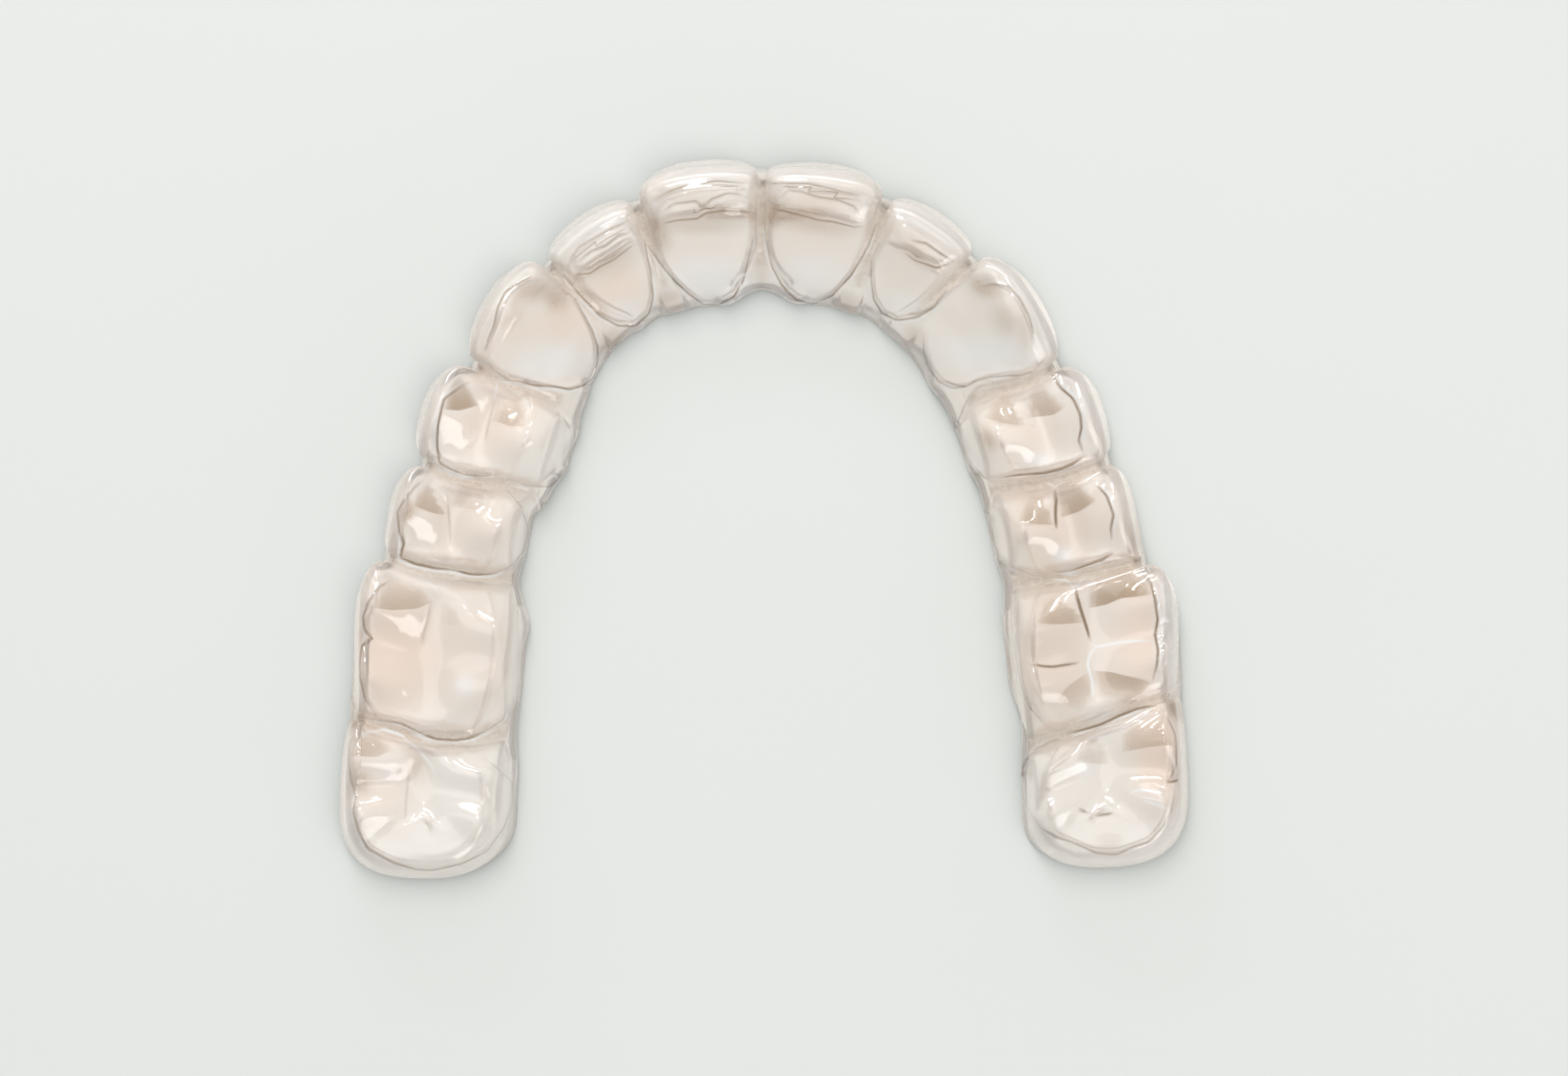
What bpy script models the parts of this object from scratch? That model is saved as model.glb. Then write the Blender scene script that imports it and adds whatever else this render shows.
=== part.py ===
"""Clear upper-arch aligner: one sheet of clear plastic thermoformed over fourteen teeth and trimmed level.

The shell is lofted round the dental arch. Each tooth and each crease between two teeth has a section of
seventeen stations, from the cheek-side rim over the crown to the palate-side rim. A tooth's body swells out
of the creases on either side of it by a rounded share, so the creases stay sharp and the crowns round, and
the body narrows towards the palate, which leaves a web over the gum between two teeth. The inner wall is
the outer one moved in by the sheet's thickness.

Axes: +X to the right of the photograph, +Y towards the incisors, +Z out of the biting side. The shell
stands on its rim, with its origin under the middle of its outline.
"""
from collections import namedtuple

import bpy
import bmesh
import numpy as np

MM = 0.001

# Sheet and arch line, in millimetres
WALL = 0.75
ARCH_HALF_WIDTH = 24.1
ARCH_LENGTH = 48.0
ARCH_FRONT_POWER = 3.0
ARCH_SIDE_POWER = 2.2
ARM_RUN_ON = 20.0

# Crowns, in millimetres
GINGIVAL_LINE_HEIGHT = 1.1
BULGE_HEIGHT = 2.5
GROOVE_DEPTH = 2.1
MARGINAL_RIDGE_RISE = 1.0
RIDGE_LAP = 0.2
RIDGE_FLAT = 0.7
CHEEK_RIDGE_DROP = 0.1
PALATE_RIDGE_DROP = 0.4
SHOULDER_DROP = 1.1
CUSP_DROP = 1.2
CANINE_CUSP_DROP = 1.7
INCISAL_CORNER_DROP = 0.4

# Rim, webs and creases, in millimetres
CHEEK_TUCK = 0.1
PALATAL_FLANGE = 0.35
WEB_FLANGE = 0.05
WEB_LINE_HEIGHT = 1.3
CREASE_HALF_WIDTH = 0.32
CREASE_DEPTH = 0.3
WEB_SWELL = 0.12
END_MIDDLE = -0.2

# Wall stations of the cheek side, as shares of the way in from the rim and of the crown's height, for the
# wall of every tooth and for the shoulder of a front and of a back tooth
WALL_SHARES = (0.22, 0.56)
FRONT_SHOULDER_SHARES = (0.58, 0.82)
BACK_SHOULDER_SHARE = 0.4

# The incisal edge: how far in from its cheek-side ridge, as a share of its width, and the drop in millimetres
INCISAL_EDGE = ((-0.08, 0.35), (0.28, 0.0), (0.70, 0.08), (1.0, 0.5))

# How far down the groove's depth the two inclines beside it are, the cheek-side one first
INCLINE_SHARES = (0.45, 0.55)

# A crease on the cheek side: how far its wall leans in and how far in its crest is at the least, in
# millimetres, the shoulder's share of the way from the crest to the rim, and both heights as shares of the
# saddle's
CREASE_WALL_LEAN = 0.45
CREASE_CREST_INSET = 0.6
CREASE_SHOULDER_SHARE = 0.25
CREASE_WALL_LEVEL = 0.62
CREASE_SHOULDER_LEVEL = 0.88

# How the cusps' relief acts at each station from the shoulder to the first of the palate side. A front tooth
# falls to its corners. A molar has its full relief on the cheek ridge and a softer one on the other.
FRONT_RELIEF = (0.5, 1.0, 1.0, 1.0, 1.0, 0.6, 0.3)
PREMOLAR_RELIEF = (0.4, 0.9, 1.0, 0.6, 0.0, 0.6, 1.0, 0.9, 0.3)
MOLAR_RELIEF = (0.4, 0.9, 1.0, 0.6, 0.0, 0.3, 0.6, 0.5, 0.2)
MARGINAL_RELIEF = (0.6, 1.0, 0.6)

# Cusps along a tooth, as shares of its half width: place either side of its middle and reach
CUSP_PLACE = {"premolar": 0.0, "molar": 0.46}
CUSP_REACH = {"premolar": 0.92, "molar": 0.46}
CORNER_POWER = {"incisor": 3.0, "canine": 1.4}
MARGINAL_START = 0.85

# Mesh density
BODY_SPANS = {"incisor": 9, "canine": 10, "premolar": 10, "molar": 12}
STATIONS = 17
LAST = STATIONS - 1
MIDDLE = LAST // 2
NORMAL_ROUNDS = 3
ABOVE_RIM_TILT = 0.6

# Groups of stations: the cheek side up to the shoulder, the biting edge or table, and the palate side
CHEEK = slice(0, 5)
TABLE = slice(5, 12)
GROOVE = slice(7, 10)
WALL_SIDE = slice(12, 15)
RIM_SIDE = slice(15, 17)

CLEAR_PLASTIC = (0.86, 0.80, 0.74, 0.45)

Tooth = namedtuple("Tooth", "kind width height buccal palatal ridge inner skew")
Contact = namedtuple("Contact", "height buccal palatal bow lean")

# Teeth from the left-hand second molar round to the right-hand one. Width runs along the arch, and height
# reaches the cusp or edge. buccal and palatal are the rims' distances from the arch line. ridge and inner are
# where the two rows of cusps run, or the two sides of an incisal edge. skew swells the side to the midline.
TEETH = (
    Tooth("molar", 11.4, 7.7, 6.3, 6.4, 5.0, -4.1, 0.00),
    Tooth("molar", 11.2, 8.1, 6.1, 6.3, 4.9, -4.2, 0.08),
    Tooth("premolar", 6.8, 8.3, 5.0, 5.3, 3.8, -3.2, 0.00),
    Tooth("premolar", 7.5, 8.6, 4.6, 6.7, 3.3, -3.5, 0.00),
    Tooth("canine", 8.2, 9.6, 3.6, 6.1, 2.3, 0.5, 0.00),
    Tooth("incisor", 7.1, 8.9, 2.5, 6.7, 0.9, -1.3, 0.00),
    Tooth("incisor", 8.7, 9.4, 3.6, 6.9, 1.8, -0.7, 0.00),
    Tooth("incisor", 8.5, 9.4, 3.4, 6.8, 1.8, -0.8, 0.00),
    Tooth("incisor", 6.9, 8.9, 2.5, 6.7, 0.8, -1.3, 0.00),
    Tooth("canine", 8.8, 9.6, 3.6, 6.4, 2.4, 0.5, 0.00),
    Tooth("premolar", 7.3, 8.6, 4.6, 6.0, 3.2, -3.3, 0.00),
    Tooth("premolar", 7.2, 8.3, 5.0, 5.6, 3.6, -3.3, 0.00),
    Tooth("molar", 11.0, 8.1, 6.8, 5.8, 5.4, -4.0, 0.06),
    Tooth("molar", 10.4, 7.7, 6.6, 5.3, 5.0, -3.6, 0.00),
)

# Creases between those teeth: saddle height, the rims' distances from the arch line, how far the crease bows
# away from the midline over the crowns, and how far it leans that way for each millimetre outwards.
CONTACTS = (
    Contact(6.0, 6.0, 6.1, 1.3, -0.05),
    Contact(6.3, 4.8, 5.1, 0.5, 0.00),
    Contact(6.5, 3.6, 6.1, 0.5, 0.00),
    Contact(6.8, 2.4, 6.3, 0.5, 0.00),
    Contact(7.0, 1.7, 6.3, 0.0, 0.00),
    Contact(7.4, 1.8, 6.9, 0.0, 0.00),
    Contact(7.7, 3.0, 5.8, 0.0, 0.00),
    Contact(7.4, 1.9, 6.9, 0.0, 0.00),
    Contact(7.0, 1.7, 6.6, 0.0, 0.00),
    Contact(6.8, 2.8, 6.0, 0.5, 0.00),
    Contact(6.5, 4.1, 5.6, 0.5, 0.00),
    Contact(6.3, 5.2, 5.3, 0.3, 0.00),
    Contact(6.0, 6.5, 5.1, 0.2, -0.30),
)
MIDLINE_CONTACT = 6

# Share of a tooth's half width that its body keeps, up the cheek side, over the crown and, against the last
# palate-side station, at the rim. The rest is web.
CHEEK_SHARES = (0.78, 0.82, 0.87, 0.92, 0.94)
CROWN_SHARE = 0.95
RIM_SHARES = (0.94, 1.04)

# Towards the palate the body narrows along a superellipse, which gives the crown its D outline. 2 is an
# ellipse, larger is boxier.
OUTLINE_SQUARENESS = {"incisor": 2.4, "canine": 2.3, "premolar": 3.0, "molar": 5.0}

# How fast the saddle of a crease falls from its crest towards the palate.
SADDLE_POWER = {"incisor": 1.3, "canine": 1.5, "premolar": 2.0, "molar": 2.2}

# Stations down the palate side, as shares of the way from the inner ridge or edge to the rim
TOOTH_SHARES = np.array((0.10, 0.22, 0.36, 0.54, 0.74, 0.92))
CREASE_SHARES = np.array((0.10, 0.22, 0.36, 0.52, 0.70, 0.88))

# Heights down the palate side as shares of the crown's, of a front tooth and of a back tooth
FRONT_SLOPE = (0.84, 0.72, 0.60, 0.47, 0.35, 0.22)
BACK_SLOPE = (0.80, 0.58, 0.30)

# How square the body's rounding is at each station (2 is a circle's, larger is squarer) and the power that
# closes it: below one it meets the crease steeply, above one it runs out flat, as the trimmed rim does.
SQUARENESS = (2.0, 2.4, 2.4, 2.8, 3.2, 3.6, 3.6, 3.6, 3.6, 3.4, 3.2, 3.0, 2.6, 2.4, 2.3, 2.2, 2.0)
CLOSING = (0.75, 0.42, 0.42, 0.36, 0.32, 0.3, 0.3, 0.3, 0.3, 0.31, 0.32, 0.34, 0.38, 0.42, 0.44, 0.46, 1.5)

# Share of each tooth's width beside which the trimmed rim keeps the tooth's own offset
RIM_LEVEL_SHARE = 0.35

# The free end of a last molar: its rounding, how far each station stops short of the end from rim to middle,
# and the height at which it ends as a share of the molar's.
CHEEK_END_SQUARENESS = 2.8
PALATE_END_SQUARENESS = 2.2
END_INSET = (0.10, 0.03, 0.00, 0.25, 0.80, 1.60, 2.35, 3.15, 4.00)
END_SHARES = (0.00, 0.15, 0.33, 0.60, 0.80, 0.87, 0.87, 0.85, 0.83)


def clear_scene():
    for item in list(bpy.data.objects):
        bpy.data.objects.remove(item, do_unlink=True)


def there_and_back(values):
    """A list that runs from the rim to the middle station, continued in reverse to the other rim."""
    return np.array(values + values[-2::-1])


def arch_line():
    """Half of the arch as a superellipse with a straight arm after it: length from the midline, x and y."""
    angle = np.linspace(0.0, np.pi / 2, 4001)
    across = ARCH_HALF_WIDTH * np.sin(angle) ** (2 / ARCH_FRONT_POWER)
    along = -ARCH_LENGTH * (1 - np.cos(angle) ** (2 / ARCH_SIDE_POWER))
    run_on = np.linspace(0.0, ARM_RUN_ON, 401)[1:]
    across = np.append(across, np.full(run_on.size, ARCH_HALF_WIDTH))
    along = np.append(along, -ARCH_LENGTH - run_on)
    length = np.append(0.0, np.cumsum(np.hypot(np.diff(across), np.diff(along))))
    return length, across, along


def place_on_arch(length_along, offset):
    """x and y of points given by their length along the arch from the midline and their offset outwards."""
    length, across, along = arch_line()
    side = np.sign(length_along)
    distance = np.abs(length_along)
    tangent_x = np.interp(distance, length, np.gradient(across, length))
    tangent_y = np.interp(distance, length, np.gradient(along, length))
    size = np.hypot(tangent_x, tangent_y)
    x = np.interp(distance, length, across) - offset * tangent_y / size
    y = np.interp(distance, length, along) + offset * tangent_x / size
    return side * x, y


def contact_places():
    """Length along the arch of each crease and of the two free ends, with the midline crease at zero."""
    edges = np.append(0.0, np.cumsum([tooth.width for tooth in TEETH]))
    return edges - edges[MIDLINE_CONTACT + 1]


def front_crown(tooth, palate):
    """Incisal edge and palate side of an incisor or a canine, with the shoulder below its edge."""
    top, ridge, inner = tooth.height, tooth.ridge, tooth.inner
    inwards, upwards = FRONT_SHOULDER_SHARES
    shoulder = (tooth.buccal - inwards * (tooth.buccal - ridge), upwards * top)
    edge = [(ridge - share * (ridge - inner), top - drop) for share, drop in INCISAL_EDGE]
    slope = [(inner + share * (palate - inner), level * top) for share, level in zip(TOOTH_SHARES, FRONT_SLOPE)]
    return [shoulder] + edge + slope


def back_crown(tooth, palate):
    """Two cusp ridges with a groove between them and the palate side of a premolar or a molar."""
    top, ridge, inner = tooth.height, tooth.ridge, tooth.inner
    middle = (ridge + inner) / 2
    cheek_end = ridge + RIDGE_LAP - RIDGE_FLAT
    palate_end = inner - RIDGE_LAP + RIDGE_FLAT
    shoulder = (tooth.buccal - BACK_SHOULDER_SHARE * (tooth.buccal - ridge), top - SHOULDER_DROP)
    cheek_ridge = [(ridge + RIDGE_LAP, top - CHEEK_RIDGE_DROP), (cheek_end, top - CHEEK_RIDGE_DROP)]
    palate_ridge = [(palate_end, top - PALATE_RIDGE_DROP), (inner - RIDGE_LAP, top - PALATE_RIDGE_DROP)]
    groove = [
        ((cheek_end + middle) / 2, top - INCLINE_SHARES[0] * GROOVE_DEPTH),
        (middle, top - GROOVE_DEPTH),
        ((palate_end + middle) / 2, top - INCLINE_SHARES[1] * GROOVE_DEPTH),
    ]
    offsets = inner + TOOTH_SHARES[len(TOOTH_SHARES) - len(BACK_SLOPE):] * (palate - inner)
    slope = [(offset, level * top) for offset, level in zip(offsets, BACK_SLOPE)]
    return [shoulder] + cheek_ridge + groove + palate_ridge + slope


def crown_stations(tooth):
    """Offsets and heights of a tooth's middle section, from the cheek-side rim over the crown to the other."""
    palate = -(tooth.palatal - PALATAL_FLANGE)
    wall = (tooth.buccal - WALL_SHARES[0] * (tooth.buccal - tooth.ridge), WALL_SHARES[1] * tooth.height)
    cheek_side = [
        (tooth.buccal - CHEEK_TUCK, 0.0),
        (tooth.buccal, GINGIVAL_LINE_HEIGHT),
        (tooth.buccal, BULGE_HEIGHT),
        wall,
    ]
    is_front = tooth.kind in ("incisor", "canine")
    crown = front_crown(tooth, palate) if is_front else back_crown(tooth, palate)
    rim_side = [(palate, GINGIVAL_LINE_HEIGHT), (-tooth.palatal, 0.0)]
    return np.array(cheek_side + crown + rim_side)


def crease_stations(contact, before, after):
    """Offsets and heights down one crease. Over the crowns its stations lie halfway between those of the teeth
    beside it, and their heights follow one saddle from the cheek to the palate."""
    out, palate, top = contact.buccal, -contact.palatal, contact.height
    beside = (crown_stations(before)[:, 0] + crown_stations(after)[:, 0]) / 2
    inner = (before.inner + after.inner) / 2
    outermost, low = beside[TABLE][0], beside[TABLE][-1]
    ridge = min(outermost, out - CREASE_CREST_INSET)
    offsets = ridge + (beside - outermost) * (ridge - low) / (outermost - low)
    offsets[CHEEK] = (
        out - CHEEK_TUCK,
        out - CHEEK_TUCK,
        out - CREASE_WALL_LEAN / 2,
        out - CREASE_WALL_LEAN,
        ridge + CREASE_SHOULDER_SHARE * (out - ridge),
    )
    offsets[WALL_SIDE] = inner + CREASE_SHARES[3:] * (palate - inner)
    offsets[RIM_SIDE] = (palate + WEB_FLANGE, palate)
    power = (SADDLE_POWER[before.kind] + SADDLE_POWER[after.kind]) / 2
    fall = np.clip((ridge - offsets) / (ridge - palate), 0.0, 1.0) ** power
    heights = top - (top - WEB_LINE_HEIGHT) * fall
    upper = (CREASE_WALL_LEVEL * top, CREASE_SHOULDER_LEVEL * top)
    heights[CHEEK] = (0.0, GINGIVAL_LINE_HEIGHT, BULGE_HEIGHT, *upper)
    heights[RIM_SIDE] = (WEB_LINE_HEIGHT, 0.0)
    return np.column_stack((offsets, heights))


def crease_shift(offsets, contact, side):
    """Shift of a crease along the arch: its bow away from the midline over the crowns, and its lean."""
    share = np.clip(1 - (offsets / contact.buccal) ** 2, 0.0, 1.0)
    return side * (contact.bow * share + contact.lean * offsets)


def crease_floor(stations):
    """The bottom line of a crease: sunk between the crowns and swollen over the gum."""
    floor = stations.copy()
    floor[4:12, 1] -= CREASE_DEPTH
    floor[13:16, 1] += WEB_SWELL
    return floor


def end_stations(tooth):
    """Offsets and heights where the stations of both sides meet round the free end of the last molar."""
    return np.column_stack((np.full(STATIONS, END_MIDDLE), there_and_back(END_SHARES) * tooth.height))


def cusp_relief(tooth, across):
    """Change of height along a tooth at each station: cusps on the ridges and a fossa between them."""
    relief = np.zeros((across.size, STATIONS))
    size = np.abs(across)
    if tooth.kind in CORNER_POWER:
        drop = INCISAL_CORNER_DROP if tooth.kind == "incisor" else CANINE_CUSP_DROP
        relief[:, 4:11] = -drop * size[:, None] ** CORNER_POWER[tooth.kind] * np.array(FRONT_RELIEF)
        return relief
    from_cusp = np.clip((size - CUSP_PLACE[tooth.kind]) / CUSP_REACH[tooth.kind], -1.0, 1.0)
    dip = CUSP_DROP * (np.cos(np.pi * from_cusp) - 1) / 2
    marginal = MARGINAL_RIDGE_RISE * np.clip(size / MARGINAL_START, 0.0, 1.0) ** 4
    relief[:, 4:13] = dip[:, None] * np.array(MOLAR_RELIEF if tooth.kind == "molar" else PREMOLAR_RELIEF)
    relief[:, GROOVE] += marginal[:, None] * np.array(MARGINAL_RELIEF)
    return relief


def body_columns(spans):
    """Places across a tooth's body from -1 to 1, closer together near its creases."""
    even = np.linspace(-1.0, 1.0, spans + 1)
    return (even + np.sin(even * np.pi / 2)) / 2


def body_share(across, end_side):
    """Share of the way from a crease to the tooth's middle section, for each column and station."""
    size = np.abs(across)[:, None]
    share = (1 - size ** np.array(SQUARENESS)) ** np.array(CLOSING)
    end_square = np.where(np.arange(STATIONS) <= MIDDLE, CHEEK_END_SQUARENESS, PALATE_END_SQUARENESS)
    end_share = (1 - size ** end_square) ** (1 / end_square)
    return np.where(across[:, None] * end_side > 0, end_share, share)


def tooth_body(tooth, start, stop, end_side):
    """Length, offset and height of every point of one tooth. start and stop give the lengths and the stations
    on its two sides, and end_side is -1 or 1 where that side is the arch's free end."""
    across = body_columns(BODY_SPANS[tooth.kind])
    share = body_share(across, end_side)
    edge = np.where((across < 0)[:, None, None], start[1][None], stop[1][None])
    section = edge + (crown_stations(tooth)[None] - edge) * share[:, :, None]
    section[:, :, 1] += cusp_relief(tooth, across) * share
    away_from_midline = across * np.sign(start[0][MIDDLE] + stop[0][MIDDLE])
    section[:, CHEEK, 0] -= tooth.skew * tooth.buccal * away_from_midline[:, None] * share[:, CHEEK]
    length = start[0] + (stop[0] - start[0]) * (across[:, None] + 1) / 2
    return np.dstack((length, section))


def web_width(tooth):
    """Width of the web beside a tooth's body at each station."""
    power = OUTLINE_SQUARENESS[tooth.kind]
    palate_shares = CROWN_SHARE * (1 - CREASE_SHARES ** power) ** (1 / power)
    rim_shares = palate_shares[-1] * np.array(RIM_SHARES)
    kept = np.concatenate((CHEEK_SHARES, [CROWN_SHARE] * 4, palate_shares, rim_shares))
    return np.maximum((1 - kept) * tooth.width / 2, CREASE_HALF_WIDTH)


def all_creases(places):
    """Lengths and stations of every crease, in order round the arch."""
    creases = []
    for index, contact in enumerate(CONTACTS):
        place = places[index + 1]
        stations = crease_stations(contact, TEETH[index], TEETH[index + 1])
        shift = crease_shift(stations[:, 0], contact, np.sign(place))
        creases.append((place + shift, stations))
    return creases


def loft_points():
    """All columns round the arch, each of seventeen stations, as length along the arch, offset and height."""
    places = contact_places()
    creases = all_creases(places)
    end_inset = there_and_back(END_INSET)
    columns = []
    for index, tooth in enumerate(TEETH):
        web = web_width(tooth)
        end_side = 0
        if index == 0:
            start = (places[0] + end_inset, end_stations(tooth))
            end_side = -1
        else:
            start = (creases[index - 1][0] + web, creases[index - 1][1])
        if index == len(TEETH) - 1:
            stop = (places[-1] - end_inset, end_stations(tooth))
            end_side = 1
        else:
            stop = (creases[index][0] - web, creases[index][1])
        columns.append(tooth_body(tooth, start, stop, end_side))
        if index < len(CONTACTS):
            length, stations = creases[index]
            columns.append(np.column_stack((length, crease_floor(stations)))[None])
    loft = np.concatenate(columns)
    set_rims(loft, places)
    return loft


def rim_curve(length, places, tooth_offsets, contact_offsets):
    """Offset of the trimmed rim along the arch: level beside each tooth and eased through each crease."""
    knots = []
    for index, offset in enumerate(tooth_offsets):
        centre = (places[index] + places[index + 1]) / 2
        reach = RIM_LEVEL_SHARE * (places[index + 1] - places[index]) / 2
        knots += [(centre - reach, offset), (centre + reach, offset)]
        if index < len(contact_offsets):
            knots.append((places[index + 1], contact_offsets[index]))
    at, value = np.array(knots).T
    segment = np.clip(np.searchsorted(at, length) - 1, 0, at.size - 2)
    share = np.clip((length - at[segment]) / (at[segment + 1] - at[segment]), 0.0, 1.0)
    ease = share * share * (3 - 2 * share)
    return value[segment] + (value[segment + 1] - value[segment]) * ease


def set_rims(loft, places):
    """Moves both rims, and the palate-side line just above its rim, on to the smooth trim line."""
    half_molar = BODY_SPANS["molar"] // 2
    inside = loft[half_molar:-half_molar]
    cheek = rim_curve(inside[:, 0, 0], places, [t.buccal for t in TEETH], [c.buccal for c in CONTACTS])
    palate = rim_curve(inside[:, LAST, 0], places, [t.palatal for t in TEETH], [c.palatal for c in CONTACTS])
    flange = np.clip(inside[:, LAST - 1, 1] - inside[:, LAST, 1], WEB_FLANGE, PALATAL_FLANGE)
    inside[:, 0, 1] = cheek - CHEEK_TUCK
    inside[:, LAST, 1] = -palate
    inside[:, LAST - 1, 1] = flange - palate


def vertex_table(columns):
    """Vertex numbers of the sheet. In the two end columns the cheek side and the palate side share theirs."""
    table = np.arange(columns * STATIONS).reshape(columns, STATIONS)
    for end in (0, columns - 1):
        table[end, MIDDLE + 1:] = table[end, MIDDLE - 1::-1]
    return table


def sheet_faces(table):
    """Quads of the sheet. At the free ends a quad that has lost a corner is a triangle."""
    faces = []
    for column in range(table.shape[0] - 1):
        for station in range(table.shape[1] - 1):
            corners = (
                table[column, station],
                table[column, station + 1],
                table[column + 1, station + 1],
                table[column + 1, station],
            )
            faces.append([int(corner) for place, corner in enumerate(corners) if corner not in corners[:place]])
    return faces


def rim_loop(table, station):
    """Vertex numbers once round at a station counted from the rim: the cheek side forwards, the other back."""
    return list(table[:, station]) + list(table[-2:0:-1, LAST - station])


def unit(vectors):
    size = np.linalg.norm(vectors, axis=1)
    size[size == 0] = 1.0
    return vectors / size[:, None]


def sheet_normals(points, faces):
    """Unit normals of the sheet, averaged over the faces at each vertex and then over neighbours, which rounds
    the inner wall as a stretched sheet is rounded."""
    normals = np.zeros_like(points)
    for face in faces:
        corners = points[face]
        centre = corners.mean(axis=0)
        area = np.cross(corners - centre, np.roll(corners, -1, axis=0) - centre).sum(axis=0)
        normals[face] += area / max(np.linalg.norm(area), 1e-12)
    for _ in range(NORMAL_ROUNDS):
        blended = np.zeros_like(points)
        for face in faces:
            blended[face] += normals[face].sum(axis=0)
        normals = unit(blended)
    return normals


def shell_geometry():
    """Points in millimetres and faces of the closed shell: outer wall, inner wall and trimmed rim."""
    loft = loft_points()
    x, y = place_on_arch(loft[:, :, 0], loft[:, :, 1])
    outer = np.dstack((x, y, loft[:, :, 2])).reshape(-1, 3)
    table = vertex_table(loft.shape[0])
    faces = sheet_faces(table)
    normals = sheet_normals(outer, faces)
    rim = rim_loop(table, 0)
    above_rim = rim_loop(table, 1)
    normals[above_rim, 2] *= ABOVE_RIM_TILT
    normals[rim] = normals[above_rim] * (1.0, 1.0, 0.0)
    inner = outer - WALL * unit(normals)
    count = len(outer)
    inner_faces = [[corner + count for corner in reversed(face)] for face in faces]
    rim_faces = []
    for corner, after in zip(rim, rim[1:] + rim[:1]):
        rim_faces.append([int(corner), int(after), int(after) + count, int(corner) + count])
    return np.vstack((outer, inner)), faces + inner_faces + rim_faces


def plastic_material():
    material = bpy.data.materials.new("clear_copolyester")
    material.use_nodes = True
    shader = material.node_tree.nodes["Principled BSDF"]
    shader.inputs["Base Color"].default_value = CLEAR_PLASTIC
    shader.inputs["Roughness"].default_value = 0.12
    shader.inputs["Metallic"].default_value = 0.0
    shader.inputs["Transmission Weight"].default_value = 0.9
    shader.inputs["IOR"].default_value = 1.55
    return material


def build_shell():
    """The thermoformed shell as one object, moved so that its origin is under the middle of its outline."""
    points, faces = shell_geometry()
    used = sorted({corner for face in faces for corner in face})
    number = {corner: place for place, corner in enumerate(used)}
    low, high = points[used].min(axis=0), points[used].max(axis=0)
    origin = np.array(((low[0] + high[0]) / 2, (low[1] + high[1]) / 2, low[2]))
    sheet = bmesh.new()
    vertices = [sheet.verts.new((points[corner] - origin) * MM) for corner in used]
    for face in faces:
        sheet.faces.new([vertices[number[corner]] for corner in face])
    bmesh.ops.recalc_face_normals(sheet, faces=sheet.faces)
    bmesh.ops.triangulate(sheet, faces=sheet.faces, quad_method="SHORT_EDGE")
    mesh = bpy.data.meshes.new("aligner_shell")
    sheet.to_mesh(mesh)
    sheet.free()
    mesh.shade_smooth()
    mesh.materials.append(plastic_material())
    shell = bpy.data.objects.new("aligner_shell", mesh)
    bpy.context.scene.collection.objects.link(shell)
    return shell


def main():
    clear_scene()
    build_shell()


main()
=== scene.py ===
# %% [markdown]
# A clear aligner is one sheet of copolyester, heated and sucked down over a model of the teeth, then cut
# along the gum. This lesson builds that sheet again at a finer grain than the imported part, gives its plastic
# a faint warm tint, and lights it on a pale table.
#
# The frame comes first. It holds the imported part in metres, with +X to the right, +Y towards the incisors
# and +Z out of the biting side. Everything below is made in that frame, so nothing has to be fitted.

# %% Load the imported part
from collections import namedtuple
from functools import partial

import bmesh
import bpy
import numpy as np
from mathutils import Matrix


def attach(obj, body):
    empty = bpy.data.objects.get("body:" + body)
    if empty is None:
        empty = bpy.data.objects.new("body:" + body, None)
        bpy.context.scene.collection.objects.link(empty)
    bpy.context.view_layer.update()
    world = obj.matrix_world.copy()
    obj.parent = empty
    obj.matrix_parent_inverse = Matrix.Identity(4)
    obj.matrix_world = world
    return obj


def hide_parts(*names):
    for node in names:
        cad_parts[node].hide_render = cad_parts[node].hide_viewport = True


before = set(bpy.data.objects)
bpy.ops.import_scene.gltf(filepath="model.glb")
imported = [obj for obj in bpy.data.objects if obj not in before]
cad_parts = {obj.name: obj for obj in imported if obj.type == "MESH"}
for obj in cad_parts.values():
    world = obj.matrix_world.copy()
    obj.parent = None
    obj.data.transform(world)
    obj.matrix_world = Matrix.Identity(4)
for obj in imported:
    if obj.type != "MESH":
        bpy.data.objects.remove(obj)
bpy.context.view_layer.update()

MM = 0.001

# %% [markdown]
# The teeth sit along an arch. A superellipse with a straight arm after it follows a dental arch closely, and
# its two powers set how flat the front is and how fast the sides turn. Points are first laid out along the
# arch, as length from the midline, offset outwards and height, and bent round it later by a node tree.

# %% The arch line
ARCH_HALF_WIDTH = 24.1
ARCH_LENGTH = 48.0
ARCH_FRONT_POWER = 3.0
ARCH_SIDE_POWER = 2.2
ARCH_STEPS = 1200
ARM_RUN_ON = 20.0
ARM_STEPS = 40


def half_arch():
    """x and y in millimetres from the midline to the end of one arm."""
    angle = np.linspace(0.0, np.pi / 2, ARCH_STEPS + 1)
    across = ARCH_HALF_WIDTH * np.sin(angle) ** (2 / ARCH_FRONT_POWER)
    along = -ARCH_LENGTH * (1 - np.cos(angle) ** (2 / ARCH_SIDE_POWER))
    run_on = np.linspace(0.0, ARM_RUN_ON, ARM_STEPS + 1)[1:]
    across = np.append(across, np.full(run_on.size, ARCH_HALF_WIDTH))
    return across, np.append(along, -ARCH_LENGTH - run_on)


half_x, half_y = half_arch()
arch_x = np.concatenate((-half_x[:0:-1], half_x))
arch_y = np.concatenate((half_y[:0:-1], half_y))
half_arch_length = np.hypot(np.diff(half_x), np.diff(half_y)).sum()
print("half arch, mm:", round(half_arch_length, 2))

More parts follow.
